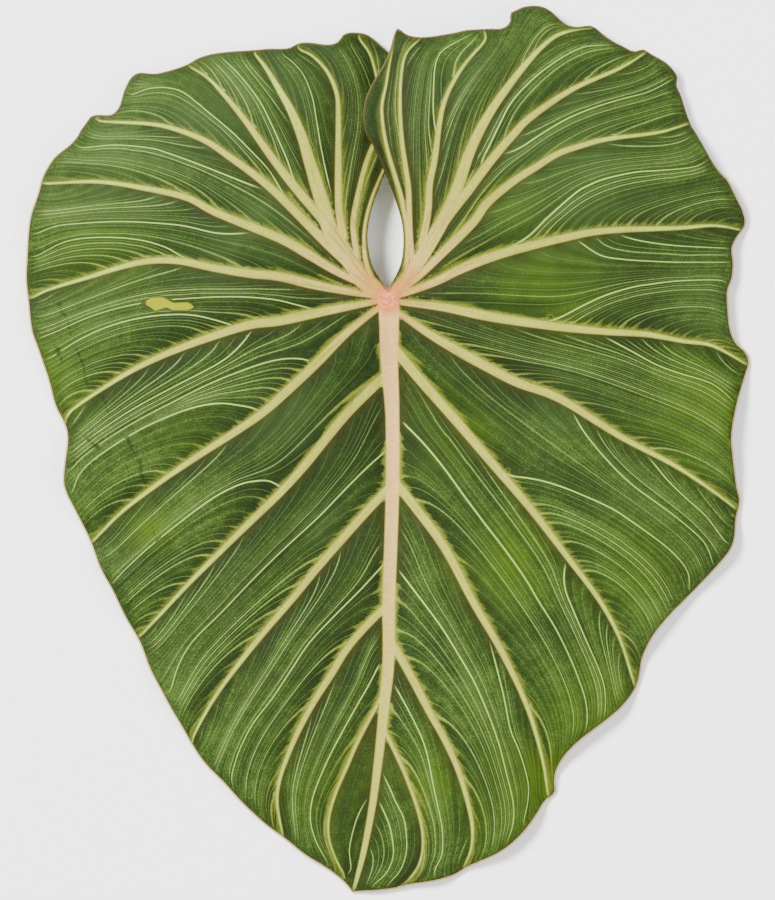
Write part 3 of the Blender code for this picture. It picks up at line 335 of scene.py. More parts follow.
RIGHT_RIBS = [
    ("R0", "R3", [(8.5, 15), (8.8, 26), (7.8, 35.8), (5.9, 45.9), (3.2, 55.1), (-1, 70),
                  (-2.8, 85), (-1, 95), (0.8, 106), (3.5, 120)], 2.2, 1.0),
    ("R1", "R3", [(11, 18), (10, 28), (9.6, 38.6), (9.2, 50), (7.8, 59.7), (6.3, 70.5),
                  (5.4, 85), (6, 100.5), (8.4, 110.7), (14.7, 117)], 2.6, 1.0),
    ("r1", "R2", [(22, 72), (20.6, 79), (20.2, 88), (20.8, 102), (22.6, 109), (26, 112.6),
                  (31, 115.6), (38, 119.3)], 0.9, 0.5),
    ("R2", "R3", [(15.1, 24), (17.9, 38.6), (18.6, 50.7), (21, 62.7), (22.5, 74.7), (24.6, 86.1),
                  (28.8, 96.3), (35.4, 106.5), (43.5, 116)], 3.2, 1.1),
    ("R3", None, [(2, 2), (8.7, 9), (17, 22), (24, 34), (30.5, 48), (37.2, 67.2), (46.8, 85.2),
                  (60.6, 103.8), (71.4, 115.5), (79.8, 120.3), (92, 122.5)], 6.4, 1.1),
    ("r2", "R4", [(40.5, 55), (42, 61.6), (46, 69.9), (50.2, 78.6), (55.7, 88.7), (66, 99.5),
                  (77.3, 108), (86.4, 112.8), (92.4, 114), (104, 114.5)], 1.4, 0.5),
    ("R4", "R3", [(22, 30), (28, 38.5), (35.2, 47.4), (41, 55.2), (48, 64.2), (56.4, 73.8),
                  (64.2, 81.6), (82.8, 94.2), (104.4, 104.1), (116, 111.5)], 4.4, 1.3),
    ("r3", "R4", [(48, 64.2), (54, 65.3), (60, 68), (66, 72), (73, 76.5), (81.6, 81.3),
                  (92.4, 85.8), (104.4, 89.7), (115.2, 92.7), (121.8, 95.7), (128.5, 99.5)],
     1.1, 0.5),
    ("R5", "R3", [(5, 3), (14.5, 10.8), (27.2, 23.4), (38.5, 34.7), (44.5, 43), (56.4, 52.8),
                  (66, 58.8), (75.6, 64.8), (86.4, 68.6), (98.4, 71.8), (121.8, 75.2), (136, 80)],
     4.4, 1.4),
    ("r4", "R6", [(54, 22.5), (62, 27.5), (66, 31), (72, 37), (84, 47.5), (90, 51), (97, 53.8),
                  (110, 56.8), (120, 57.7), (130, 58.6), (138.5, 60), (144, 63)], 1.8, 0.6),
    ("R6", None, [(3, 1), (20.8, 7.6), (33.5, 13.9), (50.4, 20.2), (77.4, 27.1), (98, 30.8),
                  (130, 32.2), (147, 33.5), (160.5, 31.5)], 4.6, 1.4),
    ("r5", "R6", [(101, 30), (107, 27.9), (115, 26), (130, 24.2), (153, 23.3)], 0.9, 0.5),
    ("r6", "R6", [(84, 27), (95, 19.8), (105, 18), (115, 17.3), (130, 16.8), (153, 17)],
     1.0, 0.5),
    ("r7", "R7", [(70, -10.5), (77.4, -8), (88, -2.5), (98, 2), (110, 5.6), (118.7, 7),
                  (130, 8.4), (148, 9)], 1.4, 0.6),
    ("R7", None, [(3, -1), (25, -3.6), (43.1, -7.3), (61.2, -10.3), (79.2, -12.7), (98, -14.5),
                  (116, -15.6), (132.5, -18.5), (146.3, -20.6), (162, -29)], 4.6, 1.4),
    ("r8", "R7", [(95, -15.5), (101, -18.8), (110, -23.6), (120, -29), (130, -32.8),
                  (146, -37.8), (156, -46)], 1.1, 0.5),
    ("R8", None, [(2, -4), (16, -13.9), (28, -21.2), (43.1, -29.6), (58.1, -37.4), (77, -44.5),
                  (103.8, -61.2), (128.9, -74.5), (148.7, -87.7), (158, -95)], 4.6, 1.4),
    ("r9", "R8", [(115, -68.5), (119, -73), (125.6, -81), (134.2, -89.3), (143.4, -97.6),
                  (152, -108.8)], 1.0, 0.5),
    ("r10", "R8", [(82, -49), (87, -58), (93.2, -66.2), (101.8, -75.8), (110.4, -83.7),
                   (120.3, -90.9), (130.2, -98.2), (142.1, -108.8), (146.5, -119)], 1.2, 0.5),
    ("r11", "R9", [(48.5, -76), (55, -79), (66.9, -80.8), (80.1, -84.8), (99.2, -93.1),
                   (108.4, -98.9), (117, -104.9), (125.6, -111.4), (132.2, -118), (135.5, -124),
                   (135.8, -131)], 1.4, 0.6),
    ("R9", MAIN, [(0.5, -19), (13, -34.4), (31, -55), (47.1, -74), (64.3, -94.3), (81.4, -116.7),
                  (95.3, -135.5), (104.2, -152), (109.9, -169.3), (111.5, -174.5)], 4.4, 1.4),
    ("r12", "R9", [(80, -117), (79, -124), (79.6, -130), (81.6, -135.8), (88.3, -151.4),
                   (94.3, -164.8), (97.3, -173.8), (97.9, -182.7), (97, -189)], 1.3, 0.6),
    ("r13", MAIN, [(1.2, -49), (7, -55.3), (16.1, -64.6), (25.3, -75.8), (33.9, -87.7),
                   (43.2, -100.2), (52.4, -112.1), (61.7, -125.3), (67.4, -135), (75.2, -147.5),
                   (81.6, -160.4), (86.1, -171.5), (89.1, -181.3), (89.4, -191.7), (86.1, -199.2)],
     1.6, 0.8),
    ("R10", MAIN, [(3, -82), (10.8, -91.6), (25.3, -111.4), (38.3, -136), (51.8, -159.6),
                   (63, -184.2), (69.7, -207.4), (72.3, -224)], 4.0, 1.3),
    ("r14", "R10", [(44, -147), (48, -162), (52, -178), (55, -193), (58.5, -201.5),
                    (61.5, -210.5), (63.3, -219), (62.8, -227), (61, -236)], 1.2, 0.6),
    ("r15", MAIN, [(2, -118), (12, -131), (23.4, -146.2), (30.9, -158.1), (38.3, -170.8),
                   (44.3, -184.2), (49.5, -198.4), (53.2, -212.6), (56.3, -226), (56.3, -235.7),
                   (53.2, -245.4)], 1.5, 0.7),
    ("R11", MAIN, [(1, -153), (10, -169), (18.9, -186), (26, -199), (32.4, -214.1),
                   (37.6, -234.2), (37.5, -247), (34, -256)], 3.6, 1.2),
    ("r16", MAIN, [(-0.5, -168), (5, -177), (12, -190), (17, -202), (20.5, -219), (22.7, -229),
                   (24.3, -237), (24.7, -245), (23.9, -251), (21, -257)], 1.1, 0.6),
    ("R12", MAIN, [(-2, -193), (4.6, -206.6), (8.8, -216.5), (13.5, -230), (15.7, -242),
                   (14.5, -253), (9.5, -261), (4, -265)], 1.8, 1.0),
    ("r17", MAIN, [(-4.5, -209), (0.5, -219), (3.5, -226), (7, -233), (8.3, -241), (8.2, -249),
                   (5.5, -257), (0, -263.5)], 0.9, 0.5),
    ("r18", MAIN, [(-6, -222), (-1.5, -231), (0.8, -237), (2.3, -245), (2.2, -251.5),
                   (-1, -258.5), (-7, -264)], 1.0, 0.5),
]

# Blemishes of this leaf: a yellow spot and some dark scratches.
YELLOW_SPOT = [(-110.5, -1.4), (-106.2, 0.9), (-100.9, 1.2), (-96.3, -1.4), (-89, -1.1),
               (-86.4, -3.7), (-89.7, -5), (-96.3, -5), (-99.6, -3.7), (-104.2, -5.4),
               (-107.5, -3.1)]
SCRATCHES = [
    [(-117.4, -60.5), (-116.6, -64), (-114, -68.5)],
    [(-111.5, -72), (-111, -78), (-108.8, -84.5)],
    [(-106, -101.5), (-105.2, -105), (-104, -108)],
    [(-136, -62), (-131, -66), (-128, -67.5)],
    [(-148, -2), (-144, -10), (-143, -16)],
    [(-140, -22), (-137, -30), (-136, -37)],
    [(-150, -20), (-147, -27)],
    [(-128, -44), (-126, -50)],
]

# Where the green is warmer than elsewhere, and where painted sheen makes it greyer and lighter:
# place, radius and strength.
WARM_PATCHES = [
    (66, -226, 26, 1.0), (92, -182, 20, 0.7), (54, -118, 20, 0.75), (142, -52, 24, 0.9),
    (-148, -30, 22, 0.6), (-108, -103, 9, 0.9), (-98, -52, 20, 0.2),
    (-135, 22, 24, 0.65), (75, 12, 26, 0.6), (20, -215, 18, 0.45),
    (30, -60, 20, 0.45), (110, -120, 22, 0.5), (58, 40, 14, 0.5), (-30, -225, 22, 0.4),
]
# Painted sheen: the greyer, lighter green where the velvety blade catches the light.
SHEEN_PATCHES = [
    (-85, 92, 34, 1.0), (-125, 60, 32, 0.9), (-50, 100, 22, 0.7), (-138, -8, 18, 0.5),
    (60, 108, 26, 0.6), (120, 60, 30, 0.5), (148, 5, 22, 0.6), (-73, 20, 15, 0.8),
    (28, 100, 16, 0.6), (84, 62, 42, 1.0), (82, 28, 22, 0.6), (-53, 37, 20, 1.0),
    (-45, -50, 18, 0.8), (110, -78, 20, 0.5), (82, -50, 20, 0.5), (-26, -103, 16, 0.5),
]


def along(line, step):
    """Points spaced evenly along an open line, its two ends kept. Extra columns go along."""
    line = np.asarray(line, dtype=float)
    travelled = travel(line)
    count = max(2, int(round(travelled[-1] / step)) + 1)
    return at(line, travelled, np.linspace(0.0, travelled[-1], count))


def travel(line):
    runs = np.hypot(*np.diff(line[:, :2], axis=0).T)
    return np.concatenate([[0.0], np.cumsum(runs)])


def at(line, travelled, places):
    return np.column_stack([np.interp(places, travelled, line[:, i])
                            for i in range(line.shape[1])])


def rounded(points):
    """The same open line with extra points that turn its corners gently."""
    line = np.array(points, dtype=float)
    padded = np.vstack([2 * line[0] - line[1], line, 2 * line[-1] - line[-2]])
    out = []
    for i in range(1, len(padded) - 2):
        a, b, c, d = padded[i - 1:i + 3]
        for t in (0.0, 0.25, 0.5, 0.75):
            out.append(0.5 * (2 * b + (c - a) * t + (2 * a - 5 * b + 4 * c - d) * t * t
                              + (3 * b - a - 3 * c + d) * t ** 3))
    out.append(line[-1])
    return np.array(out)


def nearest_index(line, place):
    """Which of a line's points is nearest to a place."""
    return np.hypot(*(line - place).T).argmin()


def closed(loop):
    return np.vstack([loop, loop[:1]])


def nearest_on(line, places):
    """Distance of each place from a line, how far along it, and on which side."""
    line = np.asarray(line, dtype=float)[:, :2]
    starts = line[:-1]
    span = line[1:] - starts
    lengths = np.hypot(*span.T)
    before = np.concatenate([[0.0], np.cumsum(lengths)[:-1]])
    gap = np.empty(len(places))
    share = np.empty(len(places))
    side = np.empty(len(places))
    for low in range(0, len(places), CHUNK):
        part = places[low:low + CHUNK]
        offset = part[:, None, :] - starts[None, :, :]
        t = np.clip((offset * span).sum(2) / np.maximum(lengths ** 2, 1e-12), 0.0, 1.0)
        rest = offset - t[..., None] * span
        far = np.hypot(rest[..., 0], rest[..., 1])
        best = far.argmin(1)
        rows = np.arange(len(part))
        gap[low:low + CHUNK] = far[rows, best]
        share[low:low + CHUNK] = (before[best] + t[rows, best] * lengths[best]) / lengths.sum()
        turn = span[best, 0] * rest[rows, best, 1] - span[best, 1] * rest[rows, best, 0]
        side[low:low + CHUNK] = np.sign(turn)
    return gap, share, side


def inside(loop, places):
    """True for each place that lies within the closed loop."""
    ax, ay = loop[:, 0], loop[:, 1]
    bx, by = np.roll(ax, -1), np.roll(ay, -1)
    rise = np.where(by == ay, 1e-9, by - ay)
    found = np.empty(len(places), dtype=bool)
    for low in range(0, len(places), CHUNK):
        x = places[low:low + CHUNK, 0][:, None]
        y = places[low:low + CHUNK, 1][:, None]
        crossing = ((ay > y) != (by > y)) & (x < (bx - ax) * (y - ay) / rise + ax)
        found[low:low + CHUNK] = crossing.sum(1) % 2 == 1
    return found


def holds(loop, place):
    return inside(loop, np.array([place]))[0]


def surface_through(places):
    """A smooth height function through places given as x, y and height."""
    data = np.array(places, dtype=float)
    knots, heights = data[:, :2] / 100.0, data[:, 2]
    count = len(knots)

    def bend(points):
        square = ((points[:, None, :] - knots[None, :, :]) ** 2).sum(2)
        return 0.5 * square * np.log(square + 1e-12)

    level = np.column_stack([np.ones(count), knots])
    system = np.zeros((count + 3, count + 3))
    system[:count, :count] = bend(knots) + SURFACE_EASE * np.eye(count)
    system[:count, count:] = level
    system[count:, :count] = level.T
    weights = np.linalg.solve(system, np.concatenate([heights, np.zeros(3)]))

    def height(points):
        scaled = np.asarray(points, dtype=float) / 100.0
        flat = np.column_stack([np.ones(len(scaled)), scaled])
        return bend(scaled) @ weights[:count] + flat @ weights[count:]

    return height


def rib_height(y):
    table = np.array(MAIN_RIB_HEIGHT)
    return np.interp(y, table[:, 0], table[:, 1])


def rib_width(y):
    table = np.array(MAIN_RIB_WIDTH)
    return np.interp(y, table[:, 0], table[:, 1])


def main_rib_x(y):
    return np.interp(-y, -MAIN_LINE[:, 1], MAIN_LINE[:, 0])


def side_width(base, end, share, start=1.0):
    """Width of a side rib, where start is how much of it is there at its very base."""
    full = base + (TIP_WIDTH_SHARE * end - base) * share ** WIDTH_TAPER
    return full * (start + (1.0 - start) * np.clip(share / NARROW_PART, 0.0, 1.0))


def rib_back(gap, width):
    """How high a rib's rounded back is at a distance from its middle, from 0 to 1."""
    return np.clip(1.0 - (gap / (0.62 * width + 0.25)) ** 2, 0.0, 1.0)


def start_share(line, base):
    """A side rib that comes from the meeting of the ribs starts narrow."""
    from_hub = math.hypot(line[0][0], line[0][1])
    return NARROW_START if from_hub < HUB_REACH and base < BROAD_RIB else 1.0


def noise(places, size, seed):
    """Smooth unrepeating noise between about -1 and 1, from a few seeded waves."""
    draw = np.random.default_rng(seed)
    total = np.zeros(len(places))
    for _ in range(WAVES):
        angle = draw.uniform(0, 2 * math.pi)
        length = size * draw.uniform(0.7, 1.5)
        phase = draw.uniform(0, 2 * math.pi)
        wave = np.array([math.cos(angle), math.sin(angle)]) * 2 * math.pi / length
        total += np.sin(places[:, :2] @ wave + phase)
    return total / math.sqrt(WAVES)


def patches(places, spots):
    """How much of a patch colour each place has, from soft round spots."""
    total = np.zeros(len(places))
    for x, y, radius, strength in spots:
        square = (places[:, 0] - x) ** 2 + (places[:, 1] - y) ** 2
        total = np.maximum(total, strength * np.exp(-square / radius ** 2))
    return total


MAIN_LINE = rounded(MAIN_RIB)
RIB_PLACES = [(x, y, float(rib_height(y))) for x, y in along(MAIN_LINE, MAIN_PLACE_STEP)]


class Points:
    """Places for the mesh, each kept only where it isn't too near an earlier one."""

    def __init__(self):
        self.places = []
        self.level = []
        self.mark = []
        self.edges = []
        self.cells = {}

    def near(self, x, y, clearance):
        cx, cy = math.floor(x), math.floor(y)
        reach = math.ceil(clearance)
        for i in range(cx - reach, cx + reach + 1):
            for j in range(cy - reach, cy + reach + 1):
                for n in self.cells.get((i, j), ()):
                    px, py = self.places[n]
                    if (px - x) ** 2 + (py - y) ** 2 < clearance ** 2:
                        return True
        return False

    def add(self, x, y, level=-1.0, mark=0.0):
        number = len(self.places)
        self.places.append((float(x), float(y)))
        self.level.append(level)
        self.mark.append(mark)
        self.cells.setdefault((math.floor(x), math.floor(y)), []).append(number)
        return number

    def line(self, points, clearance, level=-1.0, mark=0.0):
        """Adds a line's points, joined by edges where none was left out."""
        last = None
        for x, y in points:
            if self.near(x, y, clearance):
                last = None
                continue
            number = self.add(x, y, level, mark)
            if last is not None:
                self.edges.append((last, number))
            last = number


class Sector:
    """The blade between two strong ribs, with a smooth field over it on a square grid.

    The field rises by one from each fine vein to the next, so that its whole numbers
    are the veins. It is fixed on both ribs, along the margin and on the thin bright
    ribs, and settles evenly between them. Near a strong rib it changes slowly on the
    way out, which makes the veins leave the rib steeply."""

    def __init__(self, half, name_a, name_b, thin, first):
        self.first = first
        a, b = half.from_parting(name_a, name_b)
        outline = half.smooth_outline
        places = travel(outline)
        from_a = places[nearest_index(outline, a[-1, :2])]
        to_b = places[nearest_index(outline, b[-1, :2])]
        run = to_b - from_a
        count = max(2, int(run / EVEN_STEP) + 1)
        margin = at(outline, places, np.linspace(to_b, from_a, count))
        self.loop = np.vstack([b[:, :2], margin[1:-1], a[::-1, :2]])
        self.a, self.b, self.margin = a, b, margin
        length_a, length_b = travel(a)[-1], travel(b)[-1]
        self.plain = name_a == EDGE
        self.thin = []
        last = 0
        on_a, on_b, on_margin = [], [], []
        for name, line in reversed(thin):
            ends_at = to_b - places[nearest_index(outline, line[-1])]
            level = max(last + 1, int(round(ends_at / FINE_SPACING)))
            trail, marks = (a, on_a) if half.parent[name] == name_a else (b, on_b)
            leaves = travel(trail)[nearest_index(trail[:, :2], line[0])]
            marks.append((leaves, level))
            on_margin.append((ends_at, level))
            self.thin.append((level, line))
            last = level
        total = max(last + 1, int(round(run / FINE_SPACING)))
        lowest = max([level for _, level in on_b], default=0)
        highest = min([level for _, level in on_a], default=total)
        middle = min(max(PARTING_SHARE * total, lowest + 0.5), highest - 0.5)
        if on_b:
            middle = min(middle, lowest + min(s for s, _ in on_b) / LEAST_SPACING + 0.1)
        if on_a:
            middle = max(middle, highest - min(s for s, _ in on_a) / LEAST_SPACING - 0.1)
        self.total, self.middle = total, middle
        self.knots_a = np.array(sorted([(0.0, middle), (length_a, total)] + on_a))
        self.knots_b = np.array(sorted([(0.0, middle), (length_b, 0.0)] + on_b))
        knots_margin = np.array(sorted([(0.0, 0.0), (run, total)] + on_margin))
        self.low = self.loop.min(0) - GRID_BORDER
        size = np.ceil((self.loop.max(0) + GRID_BORDER - self.low) / CELL).astype(int) + 1
        grid = np.meshgrid(np.arange(size[0]), np.arange(size[1]), indexing="ij")
        cells = self.low + CELL * np.column_stack([grid[0].ravel(), grid[1].ravel()])
        gaps, levels, beyond = [], [], []
        for line, length, knots in ((a, length_a, self.knots_a), (b, length_b, self.knots_b),
                                    (margin, run, knots_margin)):
            gap, share, _ = nearest_on(line, cells)
            gaps.append(gap)
            levels.append(np.interp(share * length, knots[:, 0], knots[:, 1]))
            if line is not margin:
                width = np.interp(share * length, travel(line), line[:, 2])
                away = 0.0 if width.max() > 0 else 3.0 * STEEP_REACH
                beyond.append(np.maximum(gap - width, 0.0) + away)
        gaps, levels = np.array(gaps), np.array(levels)
        weights = 1.0 / (gaps + 0.05) ** 2
        values = (levels * weights).sum(0) / weights.sum(0)
        fixed = ~inside(self.loop, cells) | (gaps.min(0) < 0.5 * CELL)
        values[fixed] = levels[gaps.argmin(0), np.arange(len(cells))][fixed]
        for level, line in self.thin:
            on_line = nearest_on(line, cells)[0] < 0.55 * CELL
            values[on_line] = level
            fixed |= on_line
        ease = 1.0 + STEEPNESS * np.exp(-np.min(beyond, axis=0) / STEEP_REACH)
        self.values = settle(values.reshape(size), fixed.reshape(size), ease.reshape(size))

    def sample(self, places):
        """The field and its slope at each place."""
        spot = (np.asarray(places)[:, :2] - self.low) / CELL
        size = np.array(self.values.shape)
        spot = np.clip(spot, 0.0, size - 1.001)
        i, j = spot.astype(int).T
        u, v = (spot - spot.astype(int)).T
        grid = self.values
        p, q, r, s = grid[i, j], grid[i + 1, j], grid[i, j + 1], grid[i + 1, j + 1]
        value = (p * (1 - u) + q * u) * (1 - v) + (r * (1 - u) + s * u) * v
        slope_x = ((q - p) * (1 - v) + (s - r) * v) / CELL
        slope_y = ((r - p) * (1 - u) + (s - q) * u) / CELL
        return value, np.column_stack([slope_x, slope_y])

    def lines(self):
        """Points along each vein, and along the valley halfway to the next."""
        spot, heading, level = [], [], []
        if self.plain:
            return
        turn = np.sum(self.loop[:, 0] * np.roll(self.loop[:, 1], -1)
                      - self.loop[:, 1] * np.roll(self.loop[:, 0], -1))
        taken = {number for number, _ in self.thin}
        for step in range(1, 2 * self.total):
            number = 0.5 * step
            if number in taken:
                continue
            from_b = number < self.middle
            line, knots, way = ((self.b, self.knots_b, 1.0) if from_b
                                else (self.a, self.knots_a, -1.0))
            order = knots[:, 1].argsort(kind="stable")
            leaves = np.interp(number, knots[order, 1], knots[order, 0])
            if not from_b and knots[0, 1] == knots[-1, 1]:
                continue
            x, y, width = at(line, travel(line), [leaves])[0]
            ahead = at(line, travel(line), [leaves + 1.0])[0] - at(
                line, travel(line), [max(leaves - 1.0, 0.0)])[0]
            ahead = ahead[:2] / (np.hypot(*ahead[:2]) + 1e-9)
            across = np.array([-ahead[1], ahead[0]]) * way * np.sign(turn)
            spot.append(np.array([x, y]) + (width + 0.7) * across + 0.4 * ahead)
            heading.append(ahead)
            level.append(number)
        if not spot:
            return
        spot, heading, level = np.array(spot), np.array(heading), np.array(level)
        alive = inside(self.loop, spot)
        tracks = [[tuple(p)] if live else [] for p, live in zip(spot, alive)]
        for step in range(TRACK_STEPS):
            now = np.nonzero(alive)[0]
            if not len(now):
                break
            value, slope = self.sample(spot[now])
            steep = (slope ** 2).sum(1) + 1e-6
            along_line = np.column_stack([-slope[:, 1], slope[:, 0]]) / np.sqrt(steep)[:, None]
            along_line *= np.sign((along_line * heading[now]).sum(1) + 1e-9)[:, None]
            along_line = 0.5 * along_line + 0.5 * heading[now]
            along_line /= np.hypot(*along_line.T)[:, None] + 1e-9
            spot[now] += along_line * 0.5 * FINE_STEP
            value, slope = self.sample(spot[now])
            steep = (slope ** 2).sum(1) + 1e-3
            back = slope * ((level[now] - value) / steep)[:, None]
            back *= np.minimum(1.0, 0.5 / (np.hypot(*back.T) + 1e-9))[:, None]
            spot[now] += back
            heading[now] = along_line
            gone = ~inside(self.loop, spot[now])
            gone |= nearest_on(self.margin, spot[now])[0] < 1.0
            alive[now[gone]] = False
            if step % 2 == 1:
                for n in now[~gone]:
                    tracks[n].append(tuple(spot[n]))
        for number, track in zip(level, tracks):
            if len(track) > 1:
                yield number, track


def settle(values, fixed, ease):
    """The free cells, each brought to the weighted mean of its four neighbours."""
    own = ease[1:-1, 1:-1]
    sides = [0.5 * (own + ease[:-2, 1:-1]), 0.5 * (own + ease[2:, 1:-1]),
             0.5 * (own + ease[1:-1, :-2]), 0.5 * (own + ease[1:-1, 2:])]
    total = sum(sides)
    rows, columns = own.shape
    even = np.add.outer(np.arange(rows), np.arange(columns)) % 2 == 0
    free = ~fixed[1:-1, 1:-1]
    shares = [OVERSHOOT * (free & part) / total for part in (even, ~even)]
    for _ in range(SETTLE_ROUNDS):
        for share in shares:
            pull = (sides[0] * values[:-2, 1:-1] + sides[1] * values[2:, 1:-1]
                    + sides[2] * values[1:-1, :-2] + sides[3] * values[1:-1, 2:])
            values[1:-1, 1:-1] += share * (pull - total * values[1:-1, 1:-1])
    return values


class Half:
    """One side of the main rib: its outline, ribs, height and thickness."""

    def __init__(self, outline, ribs, heights, outer):
        self.outer = outer
        outline = np.vstack([[APEX], outline, [TIP]])
        self.smooth_outline = along(rounded(outline), OUTLINE_STEP)
        self.shape = surface_through(RIB_PLACES + heights + [(*APEX, APEX_HEIGHT)])
        self.ribs = {}
        main = along(MAIN_LINE, EVEN_STEP)
        self.ribs[MAIN] = np.column_stack([main, 0.5 * rib_width(main[:, 1])])
        self.order = [EDGE] + [name for name, _, _, _, _ in ribs] + [MAIN]
        self.parent = {EDGE: None, MAIN: None}
        self.strong = []
        self.thin = []
        for name, parent, points, base, end in ribs:
            line = rounded(self.to_outline(points))
            self.parent[name] = parent
            even = along(line, EVEN_STEP)
            share = np.linspace(0.0, 1.0, len(even))
            start = start_share(line, base)
            half = 0.5 * side_width(base, end, share, start)
            self.ribs[name] = np.column_stack([even, half])
            if name[0] in "LR":
                self.strong.append((line, base, end, start))
            else:
                self.thin.append((name, line, base, end))
        edge = self.smooth_outline[:2]
        self.ribs[EDGE] = np.column_stack([edge, np.zeros(2)])
        self.make_sectors()

    def to_outline(self, points):
        """The rib's points, its last one moved onto the outline."""
        end = np.array(points[-1], dtype=float)
        far = np.hypot(*(self.smooth_outline - end).T)
        nearest = self.smooth_outline[far.argmin()]
        if far.min() < 0.5:
            return list(points[:-1]) + [tuple(nearest)]
        return list(points) + [tuple(nearest)]

    def trail(self, name):
        """A rib from its root, with the rib that it leaves before it, and keys."""
        own = self.ribs[name]
        keys = [(name, i) for i in range(len(own))]
        parent = self.parent[name]
        if parent is None:
            return own, keys
        before, before_keys = self.trail(parent)
        leave = nearest_index(before[:, :2], own[0, :2])
        return np.vstack([before[:leave + 1], own[1:]]), before_keys[:leave + 1] + keys[1:]

    def from_parting(self, name_a, name_b):
        """Two neighbouring ribs, each from the place where they part to its end."""
        (a, keys_a), (b, keys_b) = self.trail(name_a), self.trail(name_b)
        shared = 0
        while shared < min(len(keys_a), len(keys_b)) and keys_a[shared] == keys_b[shared]:
            shared += 1
        start = max(shared - 1, 0)
        return a[start:], b[start:]

    def make_sectors(self):
        """The fields between each strong rib and the next, and the thin ribs in them."""
        thin = {name: line for name, line, _, _ in self.thin}
        self.sectors = []
        last, between = EDGE, []
        for name in self.order[1:]:
            if name in thin:
                between.append((name, thin[name]))
                continue
            first = SECTOR_RISE * len(self.sectors) + HALF_RISE * (self.outer > 0)
            self.sectors.append(Sector(self, last, name, between, first))
            last, between = name, []

    def mesh_places(self, seam):
        points = Points()
        loop = np.vstack([seam, self.smooth_outline[1:-1][::-1]])
        for x, y in loop:
            points.add(x, y)
        count = len(loop)
        points.edges = [(i, (i + 1) % count) for i in range(count)]
        for x, y in seam[1:-1]:
            across = 0.5 * rib_width(y)
            for share in (0.45, 1.0):
                for way in (-1.0, 1.0):
                    self.add_inside(points, loop, x + way * share * across, y, 0.7)
        for stroke in SCRATCHES:
            if holds(loop, stroke[0]):
                points.line(along(stroke, 1.0), 0.4, mark=1.0)
        if holds(loop, YELLOW_SPOT[0]):
            points.line(along(YELLOW_SPOT + YELLOW_SPOT[:1], 1.0), 0.5)
        for line, base, end, start in self.strong:
            even = along(line, RIB_STEP)
            half = 0.5 * side_width(base, end, np.linspace(0.0, 1.0, len(even)), start)
            heading = np.gradient(even, axis=0)
            heading /= np.hypot(*heading.T)[:, None]
            across = np.column_stack([-heading[:, 1], heading[:, 0]])
            points.line(even[1:-1], 0.7)
            for way in (-1.0, 1.0):
                outer = even + way * np.maximum(half, 0.8)[:, None] * across
                points.line(outer[1:-1], 0.6)
                inner = even + way * 0.5 * half[:, None] * across
                for p, h in zip(inner[1:-1], half[1:-1]):
                    if h > 1.3 and not points.near(p[0], p[1], 0.6):
                        points.add(p[0], p[1])
        for sector in self.sectors:
            for level, line in sector.thin:
                points.line(along(line, RIB_STEP)[1:], 0.7, sector.first + level)
        for whole in (True, False):
            for sector in self.sectors:
                for level, track in sector.lines():
                    if (level % 1.0 == 0.0) == whole:
                        points.line(track, 0.68, sector.first + level)
        for line, _, _, _ in self.strong:
            x, y = at(line, travel(line), [CROTCH_AWAY])[0]
            self.fill(points, (x - CROTCH_REACH, y - CROTCH_REACH,
                               x + CROTCH_REACH, y + CROTCH_REACH), *CROTCH_FILL)
        self.fill(points, HUB_AREA, *HUB_FILL)
        self.fill(points, (*loop.min(0), *loop.max(0)), *BLADE_FILL)
        places = np.array(points.places)
        keep = inside(loop, places)
        keep[:count] = True
        gap, _, _ = nearest_on(closed(loop), places)
        keep &= (gap > 0.7) | (np.arange(len(places)) < count)
        number = np.cumsum(keep) - 1
        edges = [(int(number[a]), int(number[b])) for a, b in points.edges
                 if keep[a] and keep[b]]
        lists = (points.level, points.mark)
        return places[keep], count, edges, [np.array(values)[keep] for values in lists]

    def fill(self, points, area, step, clearance):
        """Places on an even grid, where no earlier place is near."""
        y = area[1]
        row = 0
        while y < area[3]:
            for x in np.arange(area[0] + 0.5 * step * (row % 2), area[2], step):
                if not points.near(x, y, clearance):
                    points.add(x, y)
            y += 0.87 * step
            row += 1

    def add_inside(self, points, loop, x, y, clearance):
        if holds(loop, (x, y)) and not points.near(x, y, clearance):
            points.add(x, y)

    def triangles(self, seam):
        places, rim, edges, lists = self.mesh_places(seam)
        flat = [Vector((float(x), float(y))) for x, y in places]
        verts, _, faces, origin, _, _ = delaunay_2d_cdt(flat, edges, [], 1, 1e-6)
        found = np.array([(v.x, v.y) for v in verts])
        sources = [o[0] if len(o) else -1 for o in origin]
        carried = [np.array([values[o] if o >= 0 else -1.0 for o in sources])
                   for values in lists]
        faces = np.array([tuple(f) for f in faces if len(f) == 3])
        middles = found[faces].mean(1)
        faces = faces[inside(places[:rim], middles)]
        a, b, c = (found[faces[:, i]] for i in range(3))
        turn = (b - a)[:, 0] * (c - a)[:, 1] - (b - a)[:, 1] * (c - a)[:, 0]
        faces[turn < 0] = faces[turn < 0][:, ::-1]
        return found, faces, carried

